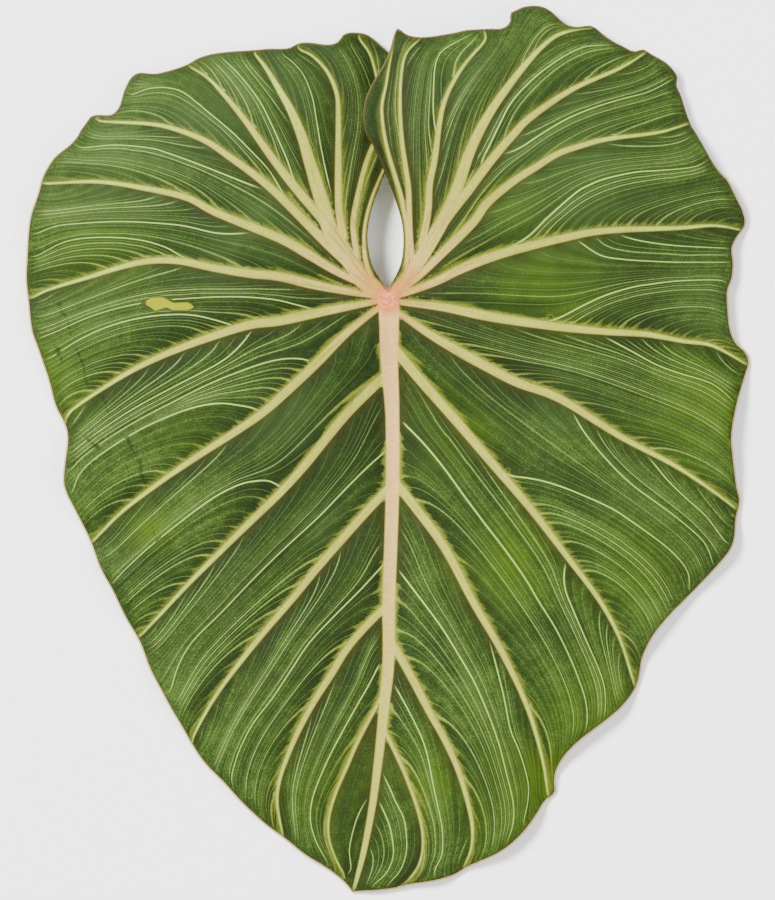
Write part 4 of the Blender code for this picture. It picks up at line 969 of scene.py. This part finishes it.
    def measures(self, places):
        """What the height, the thickness and the colours are worked out from."""
        count = len(places)
        nearest, to_edge, second, thin = (np.full(count, FAR) for _ in range(4))
        depth = np.zeros(count)
        side = np.zeros(count)
        share_out = np.zeros(count)
        for line, base, end, start in self.strong:
            gap, share, way = nearest_on(line, places)
            width = side_width(base, end, share, start)
            nearest = np.minimum(nearest, gap)
            depth = np.maximum(depth, width * rib_back(gap, width))
            beyond = gap - 0.5 * width
            closer = beyond < to_edge
            side = np.where(closer, way, side)
            share_out = np.where(closer, share, share_out)
            second = np.minimum(second, np.maximum(to_edge, beyond))
            to_edge = np.minimum(to_edge, beyond)
        for _, line, base, end in self.thin:
            gap, share, _ = nearest_on(line, places)
            thin = np.minimum(thin, gap - 0.18 * side_width(base, end, share))
        from_main, _, _ = nearest_on(MAIN_LINE, places)
        width = rib_width(places[:, 1])
        main_edge = from_main - 0.5 * width
        return {
            "nearest": np.minimum(nearest, from_main),
            "depth": np.maximum(depth, width * rib_back(from_main, width)),
            "rib": np.minimum(to_edge, main_edge),
            "main": main_edge,
            "thin": thin,
            "outer": side * self.outer,
            "groove": np.clip(second - to_edge, 0.0, 4.0) + np.clip(second, 0.0, 4.0),
            "spot": self.from_spot(places),
            "warm": patches(places, WARM_PATCHES),
            "painted_sheen": patches(places, SHEEN_PATCHES),
            "share": share_out,
            "margin": nearest_on(self.smooth_outline, places)[0],
        }

    def veins(self, places, levels):
        """The field at each place and the distance between veins there."""
        phase = np.full(len(places), 0.5)
        spacing = np.full(len(places), NO_VEINS)
        for sector in self.sectors:
            low, high = sector.loop.min(0) - 0.1, sector.loop.max(0) + 0.1
            near = np.nonzero(((places > low) & (places < high)).all(1))[0]
            near = near[inside(sector.loop, places[near])]
            known = levels[near] - sector.first
            value, slope = sector.sample(places[near])
            value = np.where((known > 0) & (known < SECTOR_RISE), known, value)
            phase[near] = value + sector.first
            spacing[near] = 1.0 / (np.hypot(*slope.T) + 0.05)
            if sector.plain:
                phase[near] = sector.first + 0.5
                spacing[near] = NO_VEINS
        return phase, np.minimum(spacing, WIDEST_SPACING)

    def from_spot(self, places):
        """Distance from the yellow spot's outline, less than 0 within it."""
        loop = np.array(YELLOW_SPOT, dtype=float)
        gap, _, _ = nearest_on(closed(loop), places)
        return np.clip(np.where(inside(loop, places), -gap, gap), -3.0, 3.0)

    def top_and_thickness(self, places, found):
        y = places[:, 1]
        height = self.shape(places)
        seam = rib_height(y) - self.shape(np.column_stack([main_rib_x(y), y]))
        beside = np.abs(places[:, 0] - main_rib_x(y))
        height += np.where(y < SEAM_TOP, seam * np.exp(-(beside / SEAM_REACH) ** 2), 0.0)
        height += PLEAT_HEIGHT * (1.0 - np.exp(-(found["nearest"] / PLEAT_REACH) ** 2))
        height += RIB_CREST_SHARE * found["depth"]
        clear = np.clip(found["rib"] / 2.0, 0.0, 1.0) * np.clip(found["margin"] / 3.0, 0.0, 1.0)
        crest = 0.5 + 0.5 * np.cos(2.0 * math.pi * found["phase"])
        stands = FINE_HEIGHT * np.clip(found["spacing"] / 2.0, 0.0, 1.0)
        stands += THIN_HEIGHT * np.clip(0.5 - found["thin"], 0.0, 1.0)
        height += stands * crest * clear
        height -= GROOVE_DEPTH * np.exp(-(found["groove"] / GROOVE_WIDTH) ** 2)
        uneven = UNEVEN_HEIGHT * noise(places, UNEVEN_SIZE, UNEVEN_SEED)
        height += uneven * np.clip(beside / UNEVEN_START, 0.0, 1.0)
        hub = np.exp(-(np.hypot(places[:, 0], y + 1.0) / HUB_RADIUS) ** 2)
        thickness = BLADE_THICKNESS + RIB_DEPTH_SHARE * found["depth"] + HUB_DEPTH * hub
        return height, thickness


LAYERS = ("rib", "main", "thin", "outer", "spot", "warm", "painted_sheen", "share", "margin", "phase",
          "spacing", "mark")


def build_sheet(halves, seam):
    """The upper face of both halves, joined along the main rib, and its measures."""
    places, thickness, faces = [], [], []
    measures = {name: [] for name in LAYERS}
    seam_index = {}
    count = 0
    for half in halves:
        points, triangles, (levels, mark) = half.triangles(seam)
        found = half.measures(points)
        found["mark"] = np.maximum(mark, 0.0)
        found["phase"], found["spacing"] = half.veins(points, levels)
        height, thick = half.top_and_thickness(points, found)
        gap, _, _ = nearest_on(seam, points)
        index = np.full(len(points), -1)
        kept = []
        for i in np.nonzero(gap < SAME_PLACE)[0]:
            key = (round(points[i, 0], 3), round(points[i, 1], 3))
            if key in seam_index:
                index[i] = seam_index[key]
            else:
                seam_index[key] = count + len(kept)
                index[i] = seam_index[key]
                kept.append(i)
        for i in np.nonzero(index < 0)[0]:
            index[i] = count + len(kept)
            kept.append(i)
        kept = np.array(kept)
        places.append(np.column_stack([points[kept], height[kept]]))
        thickness.append(thick[kept])
        for name, values in measures.items():
            values.append(found[name][kept])
        faces.append(index[triangles])
        count += len(kept)
    measures = {name: np.concatenate(values) for name, values in measures.items()}
    return np.vstack(places), np.concatenate(thickness), np.vstack(faces), measures


def corner_normals(places, faces):
    a, b, c = (places[faces[:, i]] for i in range(3))
    face_normals = np.cross(b - a, c - a)
    total = np.zeros_like(places)
    for i in range(3):
        np.add.at(total, faces[:, i], face_normals)
    return total / np.linalg.norm(total, axis=1)[:, None]


def evened(normals, faces):
    """The normals, each brought toward its neighbours', so that thick places don't fold."""
    for _ in range(EVENING_ROUNDS):
        total = normals.copy()
        for i in range(3):
            others = normals[faces[:, (i + 1) % 3]] + normals[faces[:, (i + 2) % 3]]
            np.add.at(total, faces[:, i], others)
        normals = total / np.linalg.norm(total, axis=1)[:, None]
    return normals


def rim_edges(faces):
    """The edges with a face on one side only, in that face's direction."""
    a = np.concatenate([faces[:, 0], faces[:, 1], faces[:, 2]]).astype(np.int64)
    b = np.concatenate([faces[:, 1], faces[:, 2], faces[:, 0]]).astype(np.int64)
    size = faces.max() + 1
    alone = ~np.isin(b * size + a, a * size + b)
    return np.column_stack([a[alone], b[alone]])


# Which material a face has
UPPER, UNDER, RIM, STALK, CUT = range(5)


def thicken(places, thickness, faces):
    """A closed solid between the upper face and the same face moved inward."""
    count = len(places)
    inward = evened(corner_normals(places, faces), faces)
    under = places - thickness[:, None] * inward
    low, high = REST_SPOT
    beside = np.abs(places[:, 0] - main_rib_x(places[:, 1]))
    spot = (places[:, 1] > low) & (places[:, 1] < high) & (beside < REST_HALF_WIDTH + 0.3)
    under[spot, :2] = places[spot, :2]
    under[spot, 2] = 0.0
    under[:, 2] = np.maximum(under[:, 2], 0.0)
    rim = rim_edges(faces)
    solid = np.vstack([
        faces,
        faces[:, ::-1] + count,
        np.column_stack([rim[:, 1], rim[:, 0], rim[:, 0] + count]),
        np.column_stack([rim[:, 1], rim[:, 0] + count, rim[:, 1] + count]),
    ])
    kinds = np.repeat([UPPER, UNDER, RIM], [len(faces), len(faces), 2 * len(rim)])
    return np.vstack([places, under]), solid, kinds


def stalk_stub(first):
    """The cut stalk's corners and faces, numbered from first, with its foot cut flat."""
    top, foot = np.array(STUB_TOP), np.array(STUB_FOOT)
    points, faces, kinds = [], [], []
    for r in range(STUB_RINGS):
        share = r / (STUB_RINGS - 1)
        centre = top + (foot - top) * share
        radius = STUB_RADIUS + STUB_FLARE * share
        for s in range(STUB_SIDES):
            turn = 2 * math.pi * s / STUB_SIDES
            ridge = 1.0 + STUB_RIDGE * math.cos(STUB_RIDGES * turn) - STUB_RIDGE
            points.append(centre + radius * ridge
                          * np.array([math.cos(turn), math.sin(turn) * STUB_OVAL, 0]))
    for r in range(STUB_RINGS - 1):
        for s in range(STUB_SIDES):
            a = first + r * STUB_SIDES + s
            b = first + r * STUB_SIDES + (s + 1) % STUB_SIDES
            faces.append((b, a, a + STUB_SIDES))
            faces.append((b, a + STUB_SIDES, b + STUB_SIDES))
            kinds += [STALK, STALK]
    for ring, centre, turned in ((0, top, False), (STUB_RINGS - 1, foot, True)):
        middle = first + len(points)
        points.append(centre)
        for s in range(STUB_SIDES):
            a = first + ring * STUB_SIDES + s
            b = first + ring * STUB_SIDES + (s + 1) % STUB_SIDES
            faces.append((b, a, middle) if turned else (a, b, middle))
            kinds.append(CUT)
    return np.array(points), np.array(faces), np.array(kinds)


class Value:
    """A number or colour in a node tree, with the sums that the materials need."""

    def __init__(self, nodes, socket):
        self.nodes = nodes
        self.socket = socket

    def __add__(self, other):
        return self.nodes.maths("ADD", self, other)

    def __sub__(self, other):
        return self.nodes.maths("SUBTRACT", self, other)

    def __rsub__(self, other):
        return self.nodes.maths("SUBTRACT", other, self)

    def __mul__(self, other):
        return self.nodes.maths("MULTIPLY", self, other)

    def __truediv__(self, other):
        return self.nodes.maths("DIVIDE", self, other)


class Nodes:
    """A small helper for building a material's node tree."""

    def __init__(self, name):
        self.material = bpy.data.materials.new(name)
        self.material.use_nodes = True
        self.tree = self.material.node_tree
        self.shader = self.tree.nodes["Principled BSDF"]

    def put(self, socket, value):
        if isinstance(value, Value):
            self.tree.links.new(value.socket, socket)
        else:
            socket.default_value = value

    def node(self, kind, output, inputs=(), **settings):
        """A new node with these settings and inputs, as the value of one output."""
        node = self.tree.nodes.new(kind)
        for name, setting in settings.items():
            setattr(node, name, setting)
        for key, value in inputs:
            self.put(node.inputs[key], value)
        return Value(self, node.outputs[output])

    def attribute(self, name):
        return self.node("ShaderNodeAttribute", "Fac", attribute_name=name)

    def place(self):
        return self.node("ShaderNodeTexCoord", "Object")

    def parts(self, place):
        """The x and y of a place."""
        node = self.tree.nodes.new("ShaderNodeSeparateXYZ")
        self.put(node.inputs[0], place)
        return Value(self, node.outputs[0]), Value(self, node.outputs[1])

    def maths(self, operation, a, b=0.0, clamp=False):
        return self.node("ShaderNodeMath", 0, ((0, a), (1, b)), operation=operation,
                         use_clamp=clamp)

    def ramp(self, value, low, high, to_low=0.0, to_high=1.0):
        """A smooth step from one level to another as the value goes from low to high."""
        return self.node("ShaderNodeMapRange", 0,
                         enumerate((value, low, high, to_low, to_high)),
                         interpolation_type="SMOOTHSTEP")

    def noise(self, scale, detail=3.0, vector=None):
        return self.node("ShaderNodeTexNoise", "Fac",
                         (("Vector", vector or self.place()), ("Scale", scale),
                          ("Detail", detail), ("Roughness", 0.55)))

    def noise_along(self, x, y, detail=2.0):
        """Noise stretched along the leaf's own lines, from two numbers."""
        vector = self.node("ShaderNodeCombineXYZ", 0, ((0, x), (1, y), (2, 0.0)))
        return self.noise(1.0, detail, vector)

    def chance(self, number):
        """An even chance between 0 and 1 that stays the same for the same number."""
        return self.node("ShaderNodeTexWhiteNoise", "Value", (("W", number),),
                         noise_dimensions="1D")

    def mix(self, share, a, b):
        return self.node("ShaderNodeMix", 2, (("Factor", share), (6, a), (7, b)),
                         data_type="RGBA")

    def finish(self, colour, roughness, specular=0.5, grain=None):
        """Sets the shader, with a bump of a given scale, depth and strength."""
        self.put(self.shader.inputs["Base Color"], colour)
        self.put(self.shader.inputs["Roughness"], roughness)
        self.put(self.shader.inputs["Specular IOR Level"], specular)
        if grain:
            scale, distance, strength = grain
            normal = self.node("ShaderNodeBump", "Normal",
                               (("Height", self.noise(scale)), ("Distance", distance),
                                ("Strength", strength)))
            self.put(self.shader.inputs["Normal"], normal)
        return self.material


def shade(red, green, blue):
    """A colour given as it looks on screen, 0 to 255, as the shader's linear values."""
    def linear(value):
        value /= 255.0
        return value / 12.92 if value <= 0.04045 else ((value + 0.055) / 1.055) ** 2.4
    return (linear(red), linear(green), linear(blue), 1.0)


DARK = shade(23, 35, 11)
MIDDLE = shade(36, 53, 14)
LIGHT = shade(57, 79, 27)
YELLOW_GREEN = shade(56, 78, 4)
SHEEN_GREY_GREEN = shade(50, 70, 32)
# Painted shade for the valleys between fine veins, and the scratches' own dark
VALLEY_SHADE_AND_SCRATCH_DARK = shade(10, 18, 3)
FINE_PALE = shade(120, 144, 72)
THIN_PALE = shade(140, 164, 78)
RIB_CREAM = shade(150, 148, 60)
RIB_TIP = shade(154, 176, 72)
RIB_EDGE = shade(112, 120, 34)
RIB_STRAND = shade(104, 102, 38)
# Painted shade along a rib's inner side, and the yellow spot's own dark rim
RIB_SHADE_AND_SPOT_RIM = shade(50, 48, 14)
RIB_PINK = shade(190, 148, 94)
HUB_PINK = shade(190, 90, 60)
HUB_SPECK = shade(212, 146, 108)
HUB_TAN = shade(172, 108, 46)
MARGIN_PALE = shade(180, 152, 116)
MARGIN_DARK = shade(54, 42, 14)
SPOT_YELLOW = shade(118, 124, 0)
UNDER_GREENS = shade(118, 142, 92), shade(142, 164, 112)
UNDER_FINE = shade(180, 194, 142)
UNDER_THIN = shade(184, 196, 144)
UNDER_RIB = shade(186, 194, 138)
UNDER_PINK = shade(206, 168, 136)
STALK_COLOURS = shade(150, 150, 92), shade(186, 158, 118)
CUT_COLOURS = shade(196, 200, 150), shade(150, 132, 84)
FLOOR_PALE = (0.93, 0.93, 0.92, 1.0)

HUB_PLACE = (0.00015, 0.0672)        # the meeting of the ribs, in the leaf's own metres


class Layers:
    """The leaf's mesh layers as a material reads them.

    rib, main, thin and margin are millimetres from a strong rib's edge, the main rib's
    edge, a thin rib and the margin, and hub is millimetres from the meeting of the ribs.
    phase is whole on each fine vein, and spacing is millimetres between fine veins.
    outer is more than 0 on the side of a rib that the veins leave from, and share is
    how far along its rib a place is."""

    def __init__(self, n):
        for name in ("rib", "main", "thin", "margin", "hub", "phase", "spacing", "outer",
                     "share"):
            setattr(self, name, n.attribute(name))
        self.number = n.maths("ROUND", self.phase)
        self.off = n.maths("ABSOLUTE", self.phase - self.number) * self.spacing


def blade_green(n, at, grain, streaks):
    """The blade's green in streaks, mottled and in patches, with painted shade toward the ribs and
    painted sheen in grey patches.
    """
    tone = n.ramp(at.hub, 10.0, 170.0, 0.15, 0.55)
    tone += n.ramp(n.noise(24.0, 2.0), 0.3, 0.7, -0.2, 0.25)
    tone += n.ramp(streaks, 0.3, 0.7, -0.22, 0.22)
    tone += n.ramp(n.noise(220.0), 0.3, 0.7, -0.16, 0.16)
    # painted shade: darker toward the ribs, in the dips of the pleats
    tone += n.ramp(at.rib, 0.5, 9.0, -0.32, 0.0)
    tone += n.ramp(grain, 0.3, 0.7, -0.3, 0.3)
    tone += n.ramp(at.margin, 2.0, 30.0, 0.15, 0.0)
    green = n.mix(n.maths("MULTIPLY", tone, 1.6, clamp=True), DARK, MIDDLE)
    green = n.mix(n.ramp(tone, 0.5, 1.2), green, LIGHT)
    uneven = n.ramp(n.noise(45.0, 2.0), 0.3, 0.7, 0.5, 1.1)
    warm = n.attribute("warm") * (uneven * n.ramp(streaks, 0.25, 0.6, 0.4, 1.0))
    green = n.mix(warm, green, YELLOW_GREEN)
    # painted sheen: greyer, lighter green in soft patches
    return n.mix(n.attribute("painted_sheen") * (uneven * 0.7), green, SHEEN_GREY_GREEN)


def fine_veins(n, at, colour, grain, chance, begun):
    """The pale fine veins with painted shade in the valleys between them, the hair between two of
    them, and the thin ribs.
    """
    valley = at.off / at.spacing
    # painted shade in the valleys between the fine veins
    colour = n.mix(n.ramp(valley, 0.2, 0.5, 0.0, 0.4), colour, VALLEY_SHADE_AND_SCRATCH_DARK)
    clear = n.ramp(at.spacing, 0.5, 1.4) * n.ramp(at.margin, 1.5, 8.0)
    clear = clear * n.ramp(at.hub, 15.0, 80.0, 0.45, 1.0) * begun
    line = n.ramp(at.off, n.ramp(chance, 0.0, 1.0, 0.02, 0.1),
                  n.ramp(chance, 0.0, 1.0, 0.16, 0.3), 1.0, 0.0)
    seen = n.ramp(chance, 0.35, 1.0, 0.16, 0.7) * clear * n.ramp(grain, 0.3, 0.6, 0.6, 1.0)
    colour = n.mix(line * seen, colour, FINE_PALE)
    hair = n.ramp((0.5 - valley) * at.spacing, 0.0, 0.26, 1.0, 0.0) * clear
    hair *= n.ramp(n.chance(n.maths("FLOOR", at.phase)), 0.0, 1.0, 0.03, 0.28)
    colour = n.mix(hair, colour, FINE_PALE)
    lined = n.ramp(at.thin, -0.1, 0.22, 0.95, 0.0) * n.ramp(at.margin, 1.0, 6.0)
    return n.mix(lined * begun, colour, THIN_PALE)


def rib_sides(n, at, colour, grain, chance, is_outer, y):
    """The fuzzy pale teeth on a rib's outer side, and painted shade along its inner side."""
    toothed = n.ramp(at.off, 0.1, 0.8, 1.0, 0.0) * n.ramp(chance, 0.0, 1.0, 1.0, 6.0)
    toothed = toothed * n.ramp(at.spacing, 0.35, 0.8) * n.ramp(at.thin, 1.2, 2.8, 0.2, 1.0)
    toothed += n.ramp(n.noise_along(at.phase * 5.0, at.hub * 0.05), 0.3, 0.7, 0.8, 2.8)
    feather = 1.0 - n.maths("DIVIDE", at.rib, toothed, clamp=True)
    feather = feather * n.ramp(grain, 0.3, 0.65, 0.6, 1.05)
    feather = feather * n.ramp(at.share, 0.2, 1.0, 0.85, 0.45)
    feather = feather * n.ramp(y, 0.08, 0.15, 1.0, 0.45)
    # painted shade along the rib's inner side
    shaded = n.ramp(n.noise(500.0, 2.0), 0.3, 0.7, 2.0, 6.0)
    shaded = 1.0 - n.maths("DIVIDE", at.rib, shaded, clamp=True)
    shaded = shaded * n.ramp(at.share, 0.2, 1.0, 0.5, 0.15)
    colour = n.mix(feather * is_outer, colour, RIB_EDGE)
    return n.mix(shaded * (1.0 - is_outer), colour, RIB_SHADE_AND_SPOT_RIM)


def rib_colour(n, at, x, y):
    """Cream ribs, pink and tan toward their meeting, with strands along them."""
    above = n.ramp(y, HUB_PLACE[1] - 0.004, HUB_PLACE[1] + 0.012)
    beside = n.ramp(at.main, -0.5, 0.5)
    colour = n.mix(n.ramp(at.share, 0.55, 1.0), RIB_CREAM, RIB_TIP)
    colour = n.mix(n.ramp(at.main, -0.8, 0.2, 1.0, 0.0), colour,
                   n.mix(n.ramp(at.hub, 60.0, 230.0), RIB_PINK, RIB_CREAM))
    blush = n.ramp(at.hub, 10.0, n.ramp(above, 0.0, 1.0, 36.0, 64.0),
                   n.ramp(above, 0.0, 1.0, 0.3, 0.7), 0.0)
    colour = n.mix(blush, colour, RIB_PINK)
    tan = n.ramp(at.hub, 6.0, 27.0, 0.95, 0.0) * n.ramp(above, 0.0, 1.0, 0.4, 1.0)
    colour = n.mix(tan * beside, colour, HUB_TAN)
    colour = n.mix(n.ramp(at.hub, 3.5, 9.0, 0.95, 0.0), colour, HUB_PINK)
    colour = n.mix(n.ramp(n.noise(700.0), 0.35, 0.65, 0.0, 0.3), colour, RIB_EDGE)
    side = at.rib * n.ramp(at.outer, -0.5, 0.5, -1.6, 1.6)
    strands = n.ramp(n.noise_along(side, at.hub * 0.05), 0.45, 0.7, 0.0, 0.5)
    colour = n.mix(strands * beside, colour, RIB_STRAND)
    turn = n.maths("ARCTAN2", y - HUB_PLACE[1], x - HUB_PLACE[0])
    fibres = n.ramp(n.noise_along(turn * 16.0, at.hub * 0.02, 3.0), 0.5, 0.68, 0.0, 0.55)
    fibres = fibres * (n.ramp(at.hub, 7.0, 16.0) * n.ramp(at.hub, 34.0, 75.0, 1.0, 0.0))
    colour = n.mix(fibres * n.ramp(at.main, 0.0, 0.6), colour, RIB_STRAND)
    specks = n.ramp(n.noise(900.0, 2.0), 0.48, 0.62, 0.0, 0.75)
    return n.mix(specks * n.ramp(at.hub, 3.0, 5.5, 1.0, 0.0), colour, HUB_SPECK)


def blemishes_and_margin(n, at, colour, y):
    """The yellow spot with its dark rim, the scratches, and the margin's two lines."""
    spot = n.attribute("spot")
    colour = n.mix(n.ramp(spot, -0.1, 0.8, 0.8, 0.0), colour, RIB_SHADE_AND_SPOT_RIM)
    colour = n.mix(n.ramp(spot, -0.5, 0.05, 1.0, 0.0), colour, SPOT_YELLOW)
    colour = n.mix(n.ramp(n.attribute("mark"), 0.35, 0.85, 0.0, 0.5), colour, VALLEY_SHADE_AND_SCRATCH_DARK)
    colour = n.mix(n.ramp(at.margin, 0.8, 1.5, 0.55, 0.0), colour, MARGIN_DARK)
    pale = n.ramp(at.margin, 0.45, 0.8, 0.95, 0.0) * n.ramp(at.hub, 60.0, 115.0)
    return n.mix(pale * n.ramp(y, 0.112, 0.135, 1.0, 0.15), colour, MARGIN_PALE)


def upper_material():
    n = Nodes("leaf_upper")
    at = Layers(n)
    x, y = n.parts(n.place())
    chance = n.chance(at.number)
    grain = n.noise(1300.0, 2.0)
    streaks = n.noise_along(at.phase * 0.55, at.hub * 0.012)
    is_outer = n.ramp(at.outer, -0.5, 0.5)
    begun = n.maths("MAXIMUM", is_outer, n.ramp(at.rib, 0.5, 3.5))
    colour = blade_green(n, at, grain, streaks)
    colour = fine_veins(n, at, colour, grain, chance, begun)
    colour = rib_sides(n, at, colour, grain, chance, is_outer, y)
    tipped = n.maths("MAXIMUM", n.ramp(at.margin, 0.5, 4.0, 0.3, 1.0),
                     n.ramp(at.share, 0.7, 0.9, 1.0, 0.0))
    on_rib = n.ramp(at.rib, -0.65, 0.3, 1.0, 0.0) * tipped
    colour = n.mix(on_rib, colour, rib_colour(n, at, x, y))
    colour = blemishes_and_margin(n, at, colour, y)
    return n.finish(colour, 0.65, 0.06, (1900.0, 0.0002, 0.7))


def under_material():
    n = Nodes("leaf_under")
    at = Layers(n)
    colour = n.mix(n.ramp(n.noise(60.0, 4.0), 0.35, 0.65), *UNDER_GREENS)
    colour = n.mix(n.ramp(at.off, 0.1, 0.4, 0.4, 0.0), colour, UNDER_FINE)
    colour = n.mix(n.ramp(at.thin, -0.1, 0.3, 0.7, 0.0), colour, UNDER_THIN)
    ribs = n.mix(n.ramp(at.hub, 5.0, 60.0, 0.8, 0.0), UNDER_RIB, UNDER_PINK)
    colour = n.mix(n.ramp(at.rib, -0.2, 0.5, 1.0, 0.0), colour, ribs)
    return n.finish(colour, 0.5, 0.35, (1400.0, 0.0001, 0.5))


def plain_material(name, colour, roughness):
    return Nodes(name).finish(colour, roughness)


def streaked_material(name, scale, detail, low, high, colours, roughness):
    n = Nodes(name)
    return n.finish(n.mix(n.ramp(n.noise(scale, detail), low, high), *colours), roughness)


def make_leaf():
    seam = np.vstack([[APEX], along(MAIN_LINE, OUTLINE_STEP)])
    left = Half(LEFT_OUTLINE, LEFT_RIBS, LEFT_HEIGHTS, -1.0)
    right = Half(RIGHT_OUTLINE, RIGHT_RIBS, RIGHT_HEIGHTS, 1.0)
    places, thickness, faces, measures = build_sheet([left, right], seam)
    points, solid, kinds = thicken(places, thickness, faces)
    coarse = np.array(LEFT_OUTLINE + RIGHT_OUTLINE + [APEX, TIP])
    middle = 0.5 * (coarse.min(0) + coarse.max(0))
    shift = np.array([-middle[0], -middle[1], 0.0])
    stub_points, stub_faces, stub_kinds = stalk_stub(len(points))
    every = (np.vstack([points, stub_points]) + shift) * METRE
    every = np.clip(every, cad_low, cad_high)
    mesh = bpy.data.meshes.new("leaf")
    mesh.from_pydata(every.tolist(), [], np.vstack([solid, stub_faces]).tolist())
    mesh.update()
    measures["hub"] = np.hypot(places[:, 0], places[:, 1])
    for name, values in measures.items():
        if name in LAYER_LIMITS:
            values = np.clip(values, *LAYER_LIMITS[name])
        both = np.concatenate([values, values, np.zeros(len(stub_points))])
        layer = mesh.attributes.new(name, "FLOAT", "POINT")
        layer.data.foreach_set("value", both.astype(np.float32))
    for material in (upper_material(), under_material(),
                     plain_material("leaf_margin", MARGIN_PALE, 0.5),
                     streaked_material("stalk", 500.0, 3.0, 0.35, 0.65, STALK_COLOURS, 0.45),
                     streaked_material("stalk_cut", 1600.0, 2.0, 0.45, 0.6, CUT_COLOURS, 0.6)):
        mesh.materials.append(material)
    every_kind = np.concatenate([kinds, stub_kinds])
    mesh.polygons.foreach_set("material_index", every_kind)
    mesh.polygons.foreach_set("use_smooth", np.isin(every_kind, (UPPER, UNDER, STALK)))
    leaf = bpy.data.objects.new("philodendron_leaf", mesh)
    bpy.context.scene.collection.objects.link(leaf)
    return leaf


def area_light(name, place, size, power):
    """A square lamp that shines at the middle of the leaf."""
    data = bpy.data.lights.new(name, "AREA")
    data.shape = "RECTANGLE"
    data.size = size
    data.size_y = size
    data.energy = power
    lamp = bpy.data.objects.new(name, data)
    lamp.location = place
    lamp.rotation_euler = (-Vector(place)).to_track_quat("-Z", "Y").to_euler()
    bpy.context.scene.collection.objects.link(lamp)


leaf = make_leaf()
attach(leaf, "root")
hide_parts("leaf")

floor_mesh = bpy.data.meshes.new("floor")
floor_mesh.from_pydata([(x, y, FLOOR_LEVEL) for x, y in ((-3, -3), (3, -3), (3, 3), (-3, 3))],
                       [], [(0, 1, 2, 3)])
floor = bpy.data.objects.new("floor", floor_mesh)
bpy.context.scene.collection.objects.link(floor)
floor_mesh.materials.append(plain_material("pale_floor", FLOOR_PALE, 0.9))
floor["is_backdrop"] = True

world = bpy.data.worlds.new("studio")
bpy.context.scene.world = world
world.use_nodes = True
background = world.node_tree.nodes["Background"]
background.inputs["Color"].default_value = (1.0, 1.0, 1.0, 1.0)
background.inputs["Strength"].default_value = 0.8
area_light("key", (-1.6, 1.1, 2.3), 1.0, 320.0)
area_light("fill", (1.2, -0.6, 1.3), 1.2, 36.0)

camera_data = bpy.data.cameras.new("camera")
camera_data.sensor_width = 36.0
camera_data.lens = 200.0
camera_data.clip_end = 50.0
camera = bpy.data.objects.new("camera", camera_data)
bpy.context.scene.collection.objects.link(camera)
camera.location = CAMERA_PLACE
camera.rotation_euler = (0.0, 0.0, 0.0)
bpy.context.scene.camera = camera
